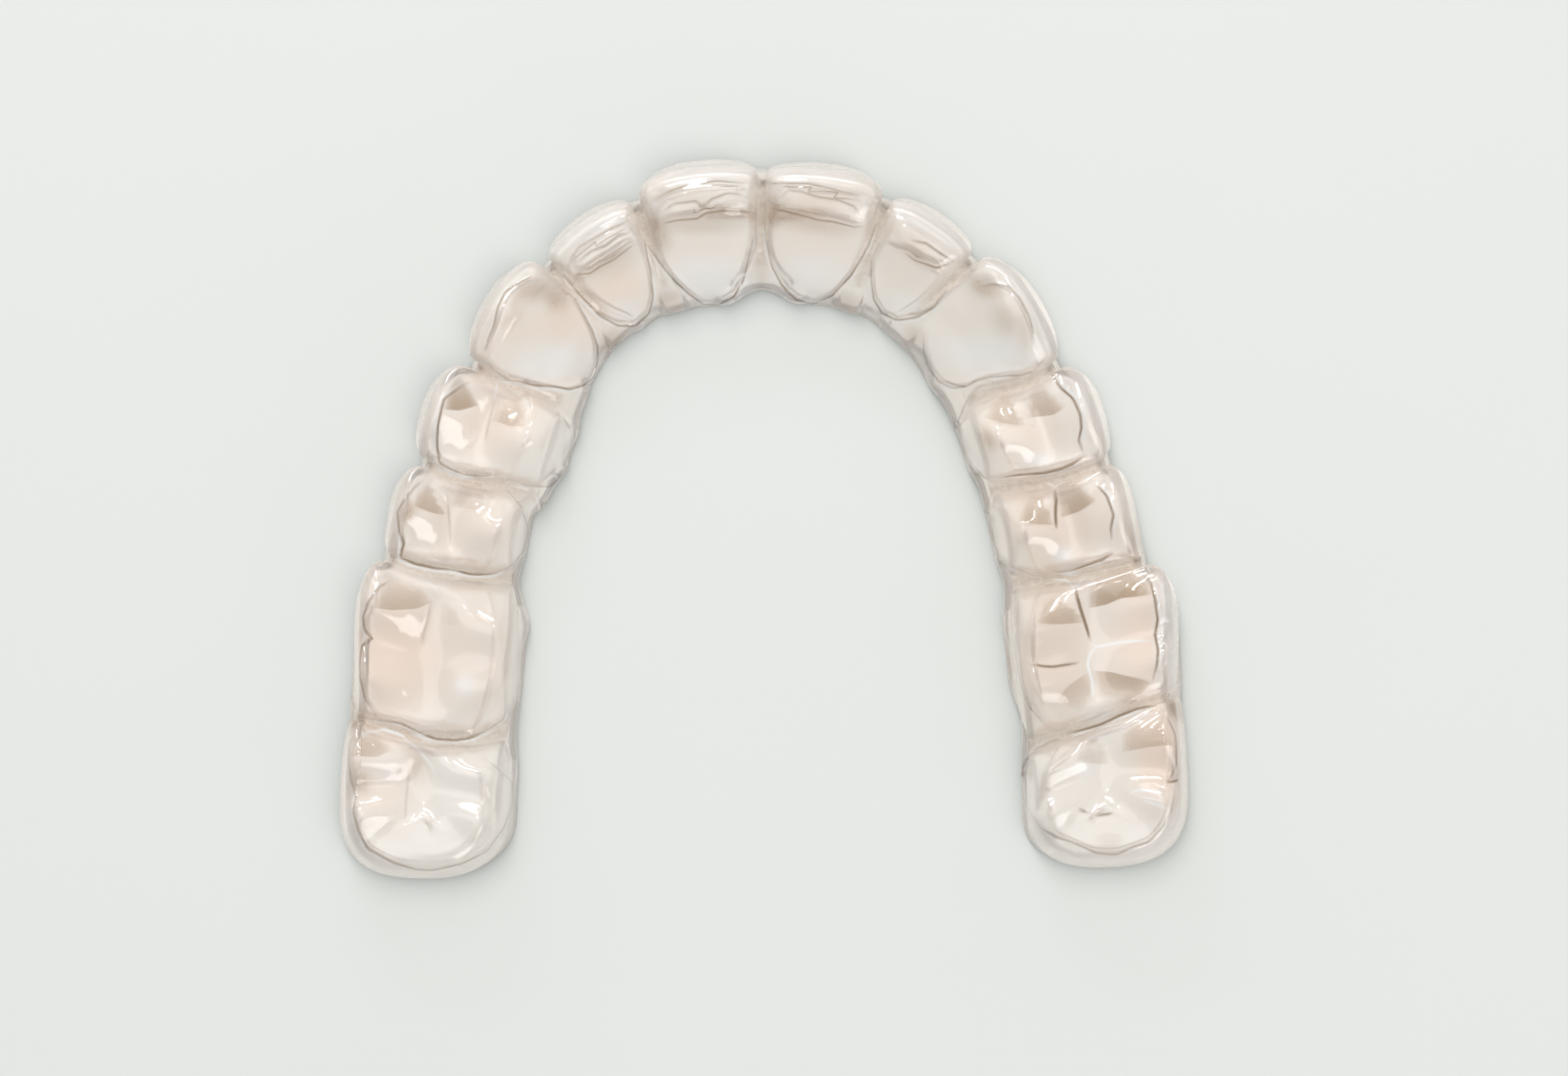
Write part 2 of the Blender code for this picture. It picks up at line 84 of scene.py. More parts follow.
# %% [markdown]
# Every tooth is a row of sizes: how wide it is along the arch, how high, and how far its rims and its cusps
# lie from the arch line. Every crease between two teeth is a row too. The rows run from the left second molar
# to the right one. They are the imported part's own, so the finer sheet lands on the same outline.

# %% Teeth and creases
Tooth = namedtuple("Tooth", "kind width height buccal palatal ridge inner skew")
Contact = namedtuple("Contact", "height buccal palatal bow lean")

TEETH = (
    Tooth("molar", 11.4, 7.7, 6.3, 6.4, 5.0, -4.1, 0.00),
    Tooth("molar", 11.2, 8.1, 6.1, 6.3, 4.9, -4.2, 0.08),
    Tooth("premolar", 6.8, 8.3, 5.0, 5.3, 3.8, -3.2, 0.00),
    Tooth("premolar", 7.5, 8.6, 4.6, 6.7, 3.3, -3.5, 0.00),
    Tooth("canine", 8.2, 9.6, 3.6, 6.1, 2.3, 0.5, 0.00),
    Tooth("incisor", 7.1, 8.9, 2.5, 6.7, 0.9, -1.3, 0.00),
    Tooth("incisor", 8.7, 9.4, 3.6, 6.9, 1.8, -0.7, 0.00),
    Tooth("incisor", 8.5, 9.4, 3.4, 6.8, 1.8, -0.8, 0.00),
    Tooth("incisor", 6.9, 8.9, 2.5, 6.7, 0.8, -1.3, 0.00),
    Tooth("canine", 8.8, 9.6, 3.6, 6.4, 2.4, 0.5, 0.00),
    Tooth("premolar", 7.3, 8.6, 4.6, 6.0, 3.2, -3.3, 0.00),
    Tooth("premolar", 7.2, 8.3, 5.0, 5.6, 3.6, -3.3, 0.00),
    Tooth("molar", 11.0, 8.1, 6.8, 5.8, 5.4, -4.0, 0.06),
    Tooth("molar", 10.4, 7.7, 6.6, 5.3, 5.0, -3.6, 0.00),
)
CONTACTS = (
    Contact(6.0, 6.0, 6.1, 1.3, -0.05),
    Contact(6.3, 4.8, 5.1, 0.5, 0.00),
    Contact(6.5, 3.6, 6.1, 0.5, 0.00),
    Contact(6.8, 2.4, 6.3, 0.5, 0.00),
    Contact(7.0, 1.7, 6.3, 0.0, 0.00),
    Contact(7.4, 1.8, 6.9, 0.0, 0.00),
    Contact(7.7, 3.0, 5.8, 0.0, 0.00),
    Contact(7.4, 1.9, 6.9, 0.0, 0.00),
    Contact(7.0, 1.7, 6.6, 0.0, 0.00),
    Contact(6.8, 2.8, 6.0, 0.5, 0.00),
    Contact(6.5, 4.1, 5.6, 0.5, 0.00),
    Contact(6.3, 5.2, 5.3, 0.3, 0.00),
    Contact(6.0, 6.5, 5.1, 0.2, -0.30),
)
MIDLINE_CONTACT = 6
edges = np.append(0.0, np.cumsum([tooth.width for tooth in TEETH]))
places = edges - edges[MIDLINE_CONTACT + 1]
print("teeth:", len(TEETH), "creases:", len(CONTACTS))

# %% [markdown]
# A section through a tooth or a crease is a list of stations, from the rim on the cheek side over the crown
# to the rim on the palate side. Every section has the same number of them, so the sheet can be joined from
# one section to the next, station by station. The stretches that are named here are met again below.

# %% Stations
STATIONS = 17
MIDDLE = STATIONS // 2
CHEEK = slice(0, 5)
TABLE = slice(5, 12)
GROOVE = slice(7, 10)
FRONT_CUSP = slice(4, 11)
BACK_CUSPS = slice(4, 13)
CROWN_CREASE = slice(4, 12)
GUM_CREASE = slice(13, 16)
WALL_SIDE = slice(12, 15)
RIM_SIDE = slice(15, 17)
print("stations:", STATIONS, "the middle one is", MIDDLE)

# %% [markdown]
# An incisor or a canine rises over a shoulder to its edge and slopes down behind it. Sizes are in
# millimetres, and a share is a part of the way or of the height. The shoulder is a little fuller than the
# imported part's, because the finer sheet can carry a rounder form.

# %% Crown of a front tooth
FRONT_SHOULDER_SHARES = (0.38, 0.85)
INCISAL_EDGE = ((-0.08, 0.35), (0.28, 0.0), (0.70, 0.08), (1.0, 0.5))
TOOTH_SHARES = np.array((0.10, 0.22, 0.36, 0.54, 0.74, 0.92))
FRONT_SLOPE = (0.84, 0.72, 0.60, 0.47, 0.35, 0.22)


def front_crown(tooth, palate):
    """Incisal edge and palate side of an incisor or a canine, with the shoulder below its edge."""
    top, ridge, inner = tooth.height, tooth.ridge, tooth.inner
    inwards, upwards = FRONT_SHOULDER_SHARES
    shoulder = (tooth.buccal - inwards * (tooth.buccal - ridge), upwards * top)
    edge = [(ridge - share * (ridge - inner), top - drop) for share, drop in INCISAL_EDGE]
    offsets = inner + TOOTH_SHARES * (palate - inner)
    slope = [(offset, level * top) for offset, level in zip(offsets, FRONT_SLOPE)]
    return [shoulder] + edge + slope


incisor = TEETH[MIDLINE_CONTACT]
print("stations of a front crown:", len(front_crown(incisor, -incisor.palatal)))

# %% [markdown]
# A premolar or a molar has two rows of cusps with a groove between them. Each ridge is a short flat stretch,
# so that the curve drawn through the stations later turns over it without a sharp tip.

# %% Crown of a back tooth
GROOVE_DEPTH = 2.1
INCLINE_SHARES = (0.45, 0.55)
RIDGE_LAP = 0.2
RIDGE_FLAT = 0.7
CHEEK_RIDGE_DROP = 0.1
PALATE_RIDGE_DROP = 0.4
SHOULDER_DROP = 1.1
BACK_SHOULDER_SHARE = 0.4
BACK_SLOPE = (0.80, 0.58, 0.30)


def back_crown(tooth, palate):
    """Two cusp ridges with a groove between them and the palate side of a premolar or a molar."""
    top, ridge, inner = tooth.height, tooth.ridge, tooth.inner
    middle = (ridge + inner) / 2
    cheek_end = ridge + RIDGE_LAP - RIDGE_FLAT
    palate_end = inner - RIDGE_LAP + RIDGE_FLAT
    shoulder = (tooth.buccal - BACK_SHOULDER_SHARE * (tooth.buccal - ridge), top - SHOULDER_DROP)
    cheek_ridge = [(ridge + RIDGE_LAP, top - CHEEK_RIDGE_DROP), (cheek_end, top - CHEEK_RIDGE_DROP)]
    palate_ridge = [(palate_end, top - PALATE_RIDGE_DROP), (inner - RIDGE_LAP, top - PALATE_RIDGE_DROP)]
    groove = [
        ((cheek_end + middle) / 2, top - INCLINE_SHARES[0] * GROOVE_DEPTH),
        (middle, top - GROOVE_DEPTH),
        ((palate_end + middle) / 2, top - INCLINE_SHARES[1] * GROOVE_DEPTH),
    ]
    offsets = inner + TOOTH_SHARES[-len(BACK_SLOPE):] * (palate - inner)
    slope = [(offset, level * top) for offset, level in zip(offsets, BACK_SLOPE)]
    return [shoulder] + cheek_ridge + groove + palate_ridge + slope


molar = TEETH[0]
print("stations of a back crown:", len(back_crown(molar, -molar.palatal)))

# %% [markdown]
# Below the crown both kinds are alike: the cheek side stands almost upright from the trimmed rim to its
# widest line, and the palate side ends in a short flange over the gum.

# %% Section of a tooth
CHEEK_TUCK = 0.1
GINGIVAL_LINE_HEIGHT = 1.1
BULGE_HEIGHT = 2.5
WALL_SHARES = (0.22, 0.56)
PALATAL_FLANGE = 0.35


def crown_stations(tooth):
    """Offsets and heights of a tooth's middle section."""
    palate = -(tooth.palatal - PALATAL_FLANGE)
    inwards, upwards = WALL_SHARES
    cheek_side = [
        (tooth.buccal - CHEEK_TUCK, 0.0),
        (tooth.buccal, GINGIVAL_LINE_HEIGHT),
        (tooth.buccal, BULGE_HEIGHT),
        (tooth.buccal - inwards * (tooth.buccal - tooth.ridge), upwards * tooth.height),
    ]
    is_front = tooth.kind in ("incisor", "canine")
    crown = front_crown(tooth, palate) if is_front else back_crown(tooth, palate)
    return np.array(cheek_side + crown + [(palate, GINGIVAL_LINE_HEIGHT), (-tooth.palatal, 0.0)])


print("highest station, mm:", max(crown_stations(tooth)[:, 1].max() for tooth in TEETH))

# %% [markdown]
# Between two teeth the sheet bridges a crease. Its section is a saddle that falls from a crest near the
# cheek to the gum on the palate side. Plain arithmetic suits this better than a modelled curve, because a
# crease has to meet both of its teeth, station by station. Between back teeth the stations of the biting
# table are drawn in towards the cheek, which rounds those crowns towards the palate a little more than in
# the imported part.

# %% Section of a crease
CREASE_CREST_INSET = 0.6
CREASE_WALL_LEAN = 0.45
CREASE_WALL_LEVEL = 0.62
CREASE_SHOULDER_SHARE = 0.25
CREASE_SHOULDER_LEVEL = 0.88
CREASE_SHARES = np.array((0.10, 0.22, 0.36, 0.52, 0.70, 0.88))
WEB_FLANGE = 0.05
WEB_LINE_HEIGHT = 1.3
SADDLE_POWER = {"incisor": 1.3, "canine": 1.5, "premolar": 2.0, "molar": 2.2}
CREASE_TABLE_INSET = {"incisor": 0.0, "canine": 0.0, "premolar": 1.0, "molar": 1.6}


def between(values, before, after):
    """Middle of the values that belong to the two teeth beside a crease."""
    return (values[before.kind] + values[after.kind]) / 2


def crease_stations(contact, before, after):
    """Offsets and heights down one crease, midway between the teeth beside it."""
    out, palate, top = contact.buccal, -contact.palatal, contact.height
    beside = (crown_stations(before)[:, 0] + crown_stations(after)[:, 0]) / 2
    inner = (before.inner + after.inner) / 2
    outermost, low = beside[TABLE][0], beside[TABLE][-1]
    ridge = min(outermost, out - CREASE_CREST_INSET)
    kept_width = ridge - low - between(CREASE_TABLE_INSET, before, after)
    offsets = ridge + (beside - outermost) * kept_width / (outermost - low)
    offsets[CHEEK] = (
        out - CHEEK_TUCK,
        out - CHEEK_TUCK,
        out - CREASE_WALL_LEAN / 2,
        out - CREASE_WALL_LEAN,
        ridge + CREASE_SHOULDER_SHARE * (out - ridge),
    )
    offsets[WALL_SIDE] = inner + CREASE_SHARES[-len(BACK_SLOPE):] * (palate - inner)
    offsets[RIM_SIDE] = (palate + WEB_FLANGE, palate)
    fallen = np.clip((ridge - offsets) / (ridge - palate), 0.0, 1.0) ** between(SADDLE_POWER, before, after)
    heights = top - (top - WEB_LINE_HEIGHT) * fallen
    upper = (CREASE_WALL_LEVEL * top, CREASE_SHOULDER_LEVEL * top)
    heights[CHEEK] = (0.0, GINGIVAL_LINE_HEIGHT, BULGE_HEIGHT, *upper)
    heights[RIM_SIDE] = (WEB_LINE_HEIGHT, 0.0)
    return np.column_stack((offsets, heights))


creases = []
for index, contact in enumerate(CONTACTS):
    stations = crease_stations(contact, TEETH[index], TEETH[index + 1])
    share = np.clip(1 - (stations[:, 0] / contact.buccal) ** 2, 0.0, 1.0)
    shift = np.sign(places[index + 1]) * (contact.bow * share + contact.lean * stations[:, 0])
    creases.append((places[index + 1] + shift, stations))
print("lowest crest, mm:", min(round(stations[TABLE][0, 1], 2) for _, stations in creases))

# %% [markdown]
# Cusps are a gentle wave of height along the crown. A canine has one low tip, an incisor only rounded
# corners, a premolar one pair of cusps and a molar two. Towards its two ends the groove of a back tooth rises
# again to the marginal ridges.

# %% Cusps and corners
CUSP_DROP = 1.2
CORNER_DROP = {"incisor": 0.4, "canine": 1.7}
CORNER_POWER = {"incisor": 3.0, "canine": 1.4}
CORNER_RELIEF = (0.5, 1.0, 1.0, 1.0, 1.0, 0.6, 0.3)
CUSP_PLACE = {"premolar": 0.0, "molar": 0.46}
CUSP_REACH = {"premolar": 0.92, "molar": 0.46}
CUSP_RELIEF = {
    "premolar": (0.4, 0.9, 1.0, 0.6, 0.0, 0.6, 1.0, 0.9, 0.3),
    "molar": (0.4, 0.9, 1.0, 0.6, 0.0, 0.3, 0.6, 0.5, 0.2),
}
MARGINAL_RIDGE_RISE = 1.0
MARGINAL_RIDGE_POWER = 4
MARGINAL_START = 0.85
MARGINAL_RELIEF = (0.6, 1.0, 0.6)


def cusp_relief(tooth, across):
    """Change of height along a tooth at each station: cusps on the ridges and a fossa between them."""
    relief = np.zeros((across.size, STATIONS))
    size = np.abs(across)
    if tooth.kind in CORNER_DROP:
        drop = CORNER_DROP[tooth.kind] * size ** CORNER_POWER[tooth.kind]
        relief[:, FRONT_CUSP] = -drop[:, None] * np.array(CORNER_RELIEF)
        return relief
    from_cusp = np.clip((size - CUSP_PLACE[tooth.kind]) / CUSP_REACH[tooth.kind], -1.0, 1.0)
    dip = CUSP_DROP * (np.cos(np.pi * from_cusp) - 1) / 2
    marginal = MARGINAL_RIDGE_RISE * np.clip(size / MARGINAL_START, 0.0, 1.0) ** MARGINAL_RIDGE_POWER
    relief[:, BACK_CUSPS] = dip[:, None] * np.array(CUSP_RELIEF[tooth.kind])
    relief[:, GROOVE] += marginal[:, None] * np.array(MARGINAL_RELIEF)
    return relief


print("canine corner, mm:", round(cusp_relief(TEETH[4], np.array([1.0])).min(), 2))

# %% [markdown]
# A body swells out of its two creases by a rounded share, with its own roundness at every station. Front
# teeth narrow towards the palate, which gives them their D shape. Back teeth stay boxy at the cheek and are
# round on the palate side. The two last molars close round a free end.

# %% How a body swells
SQUARENESS = {
    "front": (2.0, 2.4, 2.4, 2.8, 3.2, 3.6, 3.6, 3.6, 3.6, 3.4, 3.2, 3.0, 2.6, 2.4, 2.3, 2.2, 2.0),
    "back": (2.0, 2.4, 2.4, 2.8, 3.2, 3.6, 3.4, 3.0, 2.6, 2.2, 2.0, 2.0, 2.2, 2.2, 2.2, 2.2, 2.0),
}
CLOSING = {
    "front": (
        0.75, 0.42, 0.42, 0.36, 0.32, 0.3, 0.3, 0.3, 0.3, 0.31, 0.32, 0.34, 0.38, 0.42, 0.44, 0.46, 1.5,
    ),
    "back": (
        0.75, 0.42, 0.42, 0.36, 0.32, 0.3, 0.3, 0.34, 0.4, 0.46, 0.5, 0.5, 0.48, 0.47, 0.46, 0.46, 1.5,
    ),
}
CHEEK_END_SQUARENESS = 2.8
PALATE_END_SQUARENESS = 2.2
BODY_SPANS = {"incisor": 34, "canine": 38, "premolar": 38, "molar": 50}


def body_share(tooth, across, end_side):
    """Share of the way from a crease to the tooth's middle section, for each column and station."""
    size = np.abs(across)[:, None]
    part = "front" if tooth.kind in ("incisor", "canine") else "back"
    share = (1 - size ** np.array(SQUARENESS[part])) ** np.array(CLOSING[part])
    end_square = np.where(np.arange(STATIONS) <= MIDDLE, CHEEK_END_SQUARENESS, PALATE_END_SQUARENESS)
    end_share = (1 - size ** end_square) ** (1 / end_square)
    return np.where(across[:, None] * end_side > 0, end_share, share)


def tooth_body(tooth, start, stop, end_side):
    """Length, offset and height of one tooth's points. end_side is -1 or 1 beside the arch's free end."""
    across = np.sin(np.linspace(-np.pi / 2, np.pi / 2, BODY_SPANS[tooth.kind] + 1))
    share = body_share(tooth, across, end_side)
    edge = np.where((across < 0)[:, None, None], start[1][None], stop[1][None])
    section = edge + (crown_stations(tooth)[None] - edge) * share[:, :, None]
    section[:, :, 1] += cusp_relief(tooth, across) * share
    away_from_midline = across * np.sign(start[0][MIDDLE] + stop[0][MIDDLE])
    section[:, CHEEK, 0] -= tooth.skew * tooth.buccal * away_from_midline[:, None] * share[:, CHEEK]
    length = start[0] + (stop[0] - start[0]) * (across[:, None] + 1) / 2
    return np.dstack((length, section))


print("columns over the teeth:", sum(BODY_SPANS[tooth.kind] + 1 for tooth in TEETH))

# %% [markdown]
# Beside each body lies a web of sheet, narrow at the cheek and wide over the gum on the palate side. A few
# columns cross it from body to body. They sink a little between the crowns and swell a little over the gum,
# so that the bottom of the crease is round.

# %% Webs and creases
CHEEK_SHARES = (0.78, 0.82, 0.87, 0.92, 0.94)
CROWN_SHARE = 0.95
CROWN_STATIONS = 4
RIM_SHARES = (0.94, 1.04)
OUTLINE_SQUARENESS = {"incisor": 2.4, "canine": 2.3, "premolar": 2.5, "molar": 3.0}
CREASE_HALF_WIDTH = 0.32
CREASE_DEPTH = 0.3
CREASE_ROUNDNESS = 1.6
WEB_SWELL = 0.12
WEB_STEPS = (-0.7, -0.35, 0.0, 0.35, 0.7)


def web_width(tooth):
    """Width of the web beside a tooth's body at each station."""
    power = OUTLINE_SQUARENESS[tooth.kind]
    palate_shares = CROWN_SHARE * (1 - CREASE_SHARES ** power) ** (1 / power)
    rim_shares = palate_shares[-1] * np.array(RIM_SHARES)
    kept = np.concatenate((CHEEK_SHARES, [CROWN_SHARE] * CROWN_STATIONS, palate_shares, rim_shares))
    return np.maximum((1 - kept) * tooth.width / 2, CREASE_HALF_WIDTH)


def crease_columns(crease, before, after):
    """Columns across a crease, between the bodies on either side of it."""
    length, stations = crease
    sunk = np.zeros_like(stations)
    sunk[CROWN_CREASE, 1] = -CREASE_DEPTH
    sunk[GUM_CREASE, 1] = WEB_SWELL
    columns = []
    for step in WEB_STEPS:
        width = web_width(before) if step < 0 else web_width(after)
        section = stations + sunk * (1 - abs(step) ** CREASE_ROUNDNESS)
        columns.append(np.column_stack((length + step * width, section)))
    return np.array(columns)


print("widest web, mm:", round(max(web_width(tooth).max() for tooth in TEETH), 2))

# %% [markdown]
# The rims are cut along one smooth line on each side, level beside each tooth and eased through each crease,
# because a technician trims the sheet in one sweep and doesn't follow every tooth.

# %% Trimmed rims
RIM_LEVEL_SHARE = 0.35


def rim_curve(length, tooth_offsets, contact_offsets):
    """Offset of the trimmed rim along the arch."""
    knots = []
    for index, offset in enumerate(tooth_offsets):
        centre = (places[index] + places[index + 1]) / 2
        reach = RIM_LEVEL_SHARE * (places[index + 1] - places[index]) / 2
        knots += [(centre - reach, offset), (centre + reach, offset)]
        if index < len(contact_offsets):
            knots.append((places[index + 1], contact_offsets[index]))
    at, value = np.array(knots).T
    segment = np.clip(np.searchsorted(at, length) - 1, 0, at.size - 2)
    share = np.clip((length - at[segment]) / (at[segment + 1] - at[segment]), 0.0, 1.0)
    eased = share * share * (3 - 2 * share)
    return value[segment] + (value[segment + 1] - value[segment]) * eased


def set_rims(loft):
    """Moves both rims, and the palate-side line just above its rim, on to the smooth trim line."""
    half_molar = BODY_SPANS["molar"] // 2
    inside = loft[half_molar:-half_molar]
    cheek = rim_curve(inside[:, 0, 0], [t.buccal for t in TEETH], [c.buccal for c in CONTACTS])
    palate = rim_curve(inside[:, -1, 0], [t.palatal for t in TEETH], [c.palatal for c in CONTACTS])
    flange = np.clip(inside[:, -2, 1] - inside[:, -1, 1], WEB_FLANGE, PALATAL_FLANGE)
    inside[:, 0, 1] = cheek - CHEEK_TUCK
    inside[:, -1, 1] = -palate
    inside[:, -2, 1] = flange - palate


tooth_rims = [tooth.buccal for tooth in TEETH]
print("cheek rim at the midline, mm:", rim_curve(0.0, tooth_rims, [c.buccal for c in CONTACTS]).round(2))

# %% [markdown]
# The columns are put in order round the arch, and then every column is drawn through its stations with a
# smooth curve. A curve that passes through its points keeps the sizes above true.

# %% The sheet laid out along the arch
END_MIDDLE = -0.2
END_INSET = (0.10, 0.03, 0.00, 0.25, 0.80, 1.60, 2.35, 3.15, 4.00)
END_SHARES = (0.00, 0.15, 0.33, 0.60, 0.80, 0.87, 0.87, 0.85, 0.83)
ROWS_PER_STATION = 4


def there_and_back(values):
    """The values from one rim to the middle station, and the same again to the other rim."""
    return np.array(values + values[-2::-1])


def through_stations(loft):
    """Fills rows in between the stations with a curve that passes through every one of them."""
    before = 2 * loft[:, :1] - loft[:, 1:2]
    after = 2 * loft[:, -1:] - loft[:, -2:-1]
    padded = np.concatenate((before, loft, after), axis=1)
    rows = []
    for station in range(STATIONS - 1):
        a, b, c, d = (padded[:, station + step] for step in range(4))
        square, cube = 2 * a - 5 * b + 4 * c - d, 3 * b - a - 3 * c + d
        for t in np.arange(ROWS_PER_STATION) / ROWS_PER_STATION:
            rows.append((2 * b + (c - a) * t + square * t ** 2 + cube * t ** 3) / 2)
    rows.append(loft[:, -1])
    return np.stack(rows, axis=1)


def whole_loft():
    """All columns round the arch, as length, offset and height of their points."""
    end_inset = there_and_back(END_INSET)
    columns = []
    for index, tooth in enumerate(TEETH):
        end = np.column_stack((np.full(STATIONS, END_MIDDLE), there_and_back(END_SHARES) * tooth.height))
        web = web_width(tooth)
        start = (places[0] + end_inset, end)
        stop = (places[-1] - end_inset, end)
        if index > 0:
            start = (creases[index - 1][0] + web, creases[index - 1][1])
        if index < len(CONTACTS):
            stop = (creases[index][0] - web, creases[index][1])
        end_side = {0: -1, len(TEETH) - 1: 1}.get(index, 0)
        columns.append(tooth_body(tooth, start, stop, end_side))
        if index < len(CONTACTS):
            columns.append(crease_columns(creases[index], tooth, TEETH[index + 1]))
    loft = np.concatenate(columns)
    set_rims(loft)
    return through_stations(loft)


loft = whole_loft()
columns, rows = loft.shape[:2]
print("sheet:", columns, "columns of", rows, "rows")

# %% [markdown]
# Marks on the sheet are easier to place on the plan, looking straight down, than along the arch. So the place
# that every point will have after the bend is worked out first, centred on the part's frame.

# %% Places on the plan
def plan_places():
    """x and y of every point after the bend, and how far the arch moves to be centred, in millimetres."""
    length = np.append(0.0, np.cumsum(np.hypot(np.diff(arch_x), np.diff(arch_y)))) - half_arch_length
    at, offset = loft[:, :, 0], loft[:, :, 1]
    tangent_x = np.interp(at, length, np.gradient(arch_x, length))
    tangent_y = np.interp(at, length, np.gradient(arch_y, length))
    size = np.hypot(tangent_x, tangent_y)
    x = np.interp(at, length, arch_x) - offset * tangent_y / size
    y = np.interp(at, length, arch_y) + offset * tangent_x / size
    move_x, move_y = -(x.min() + x.max()) / 2, -(y.min() + y.max()) / 2
    return x + move_x, y + move_y, move_x, move_y


plan_x, plan_y, shift_x, shift_y = plan_places()
print("arch moved, mm:", round(shift_x, 3), round(shift_y, 3))
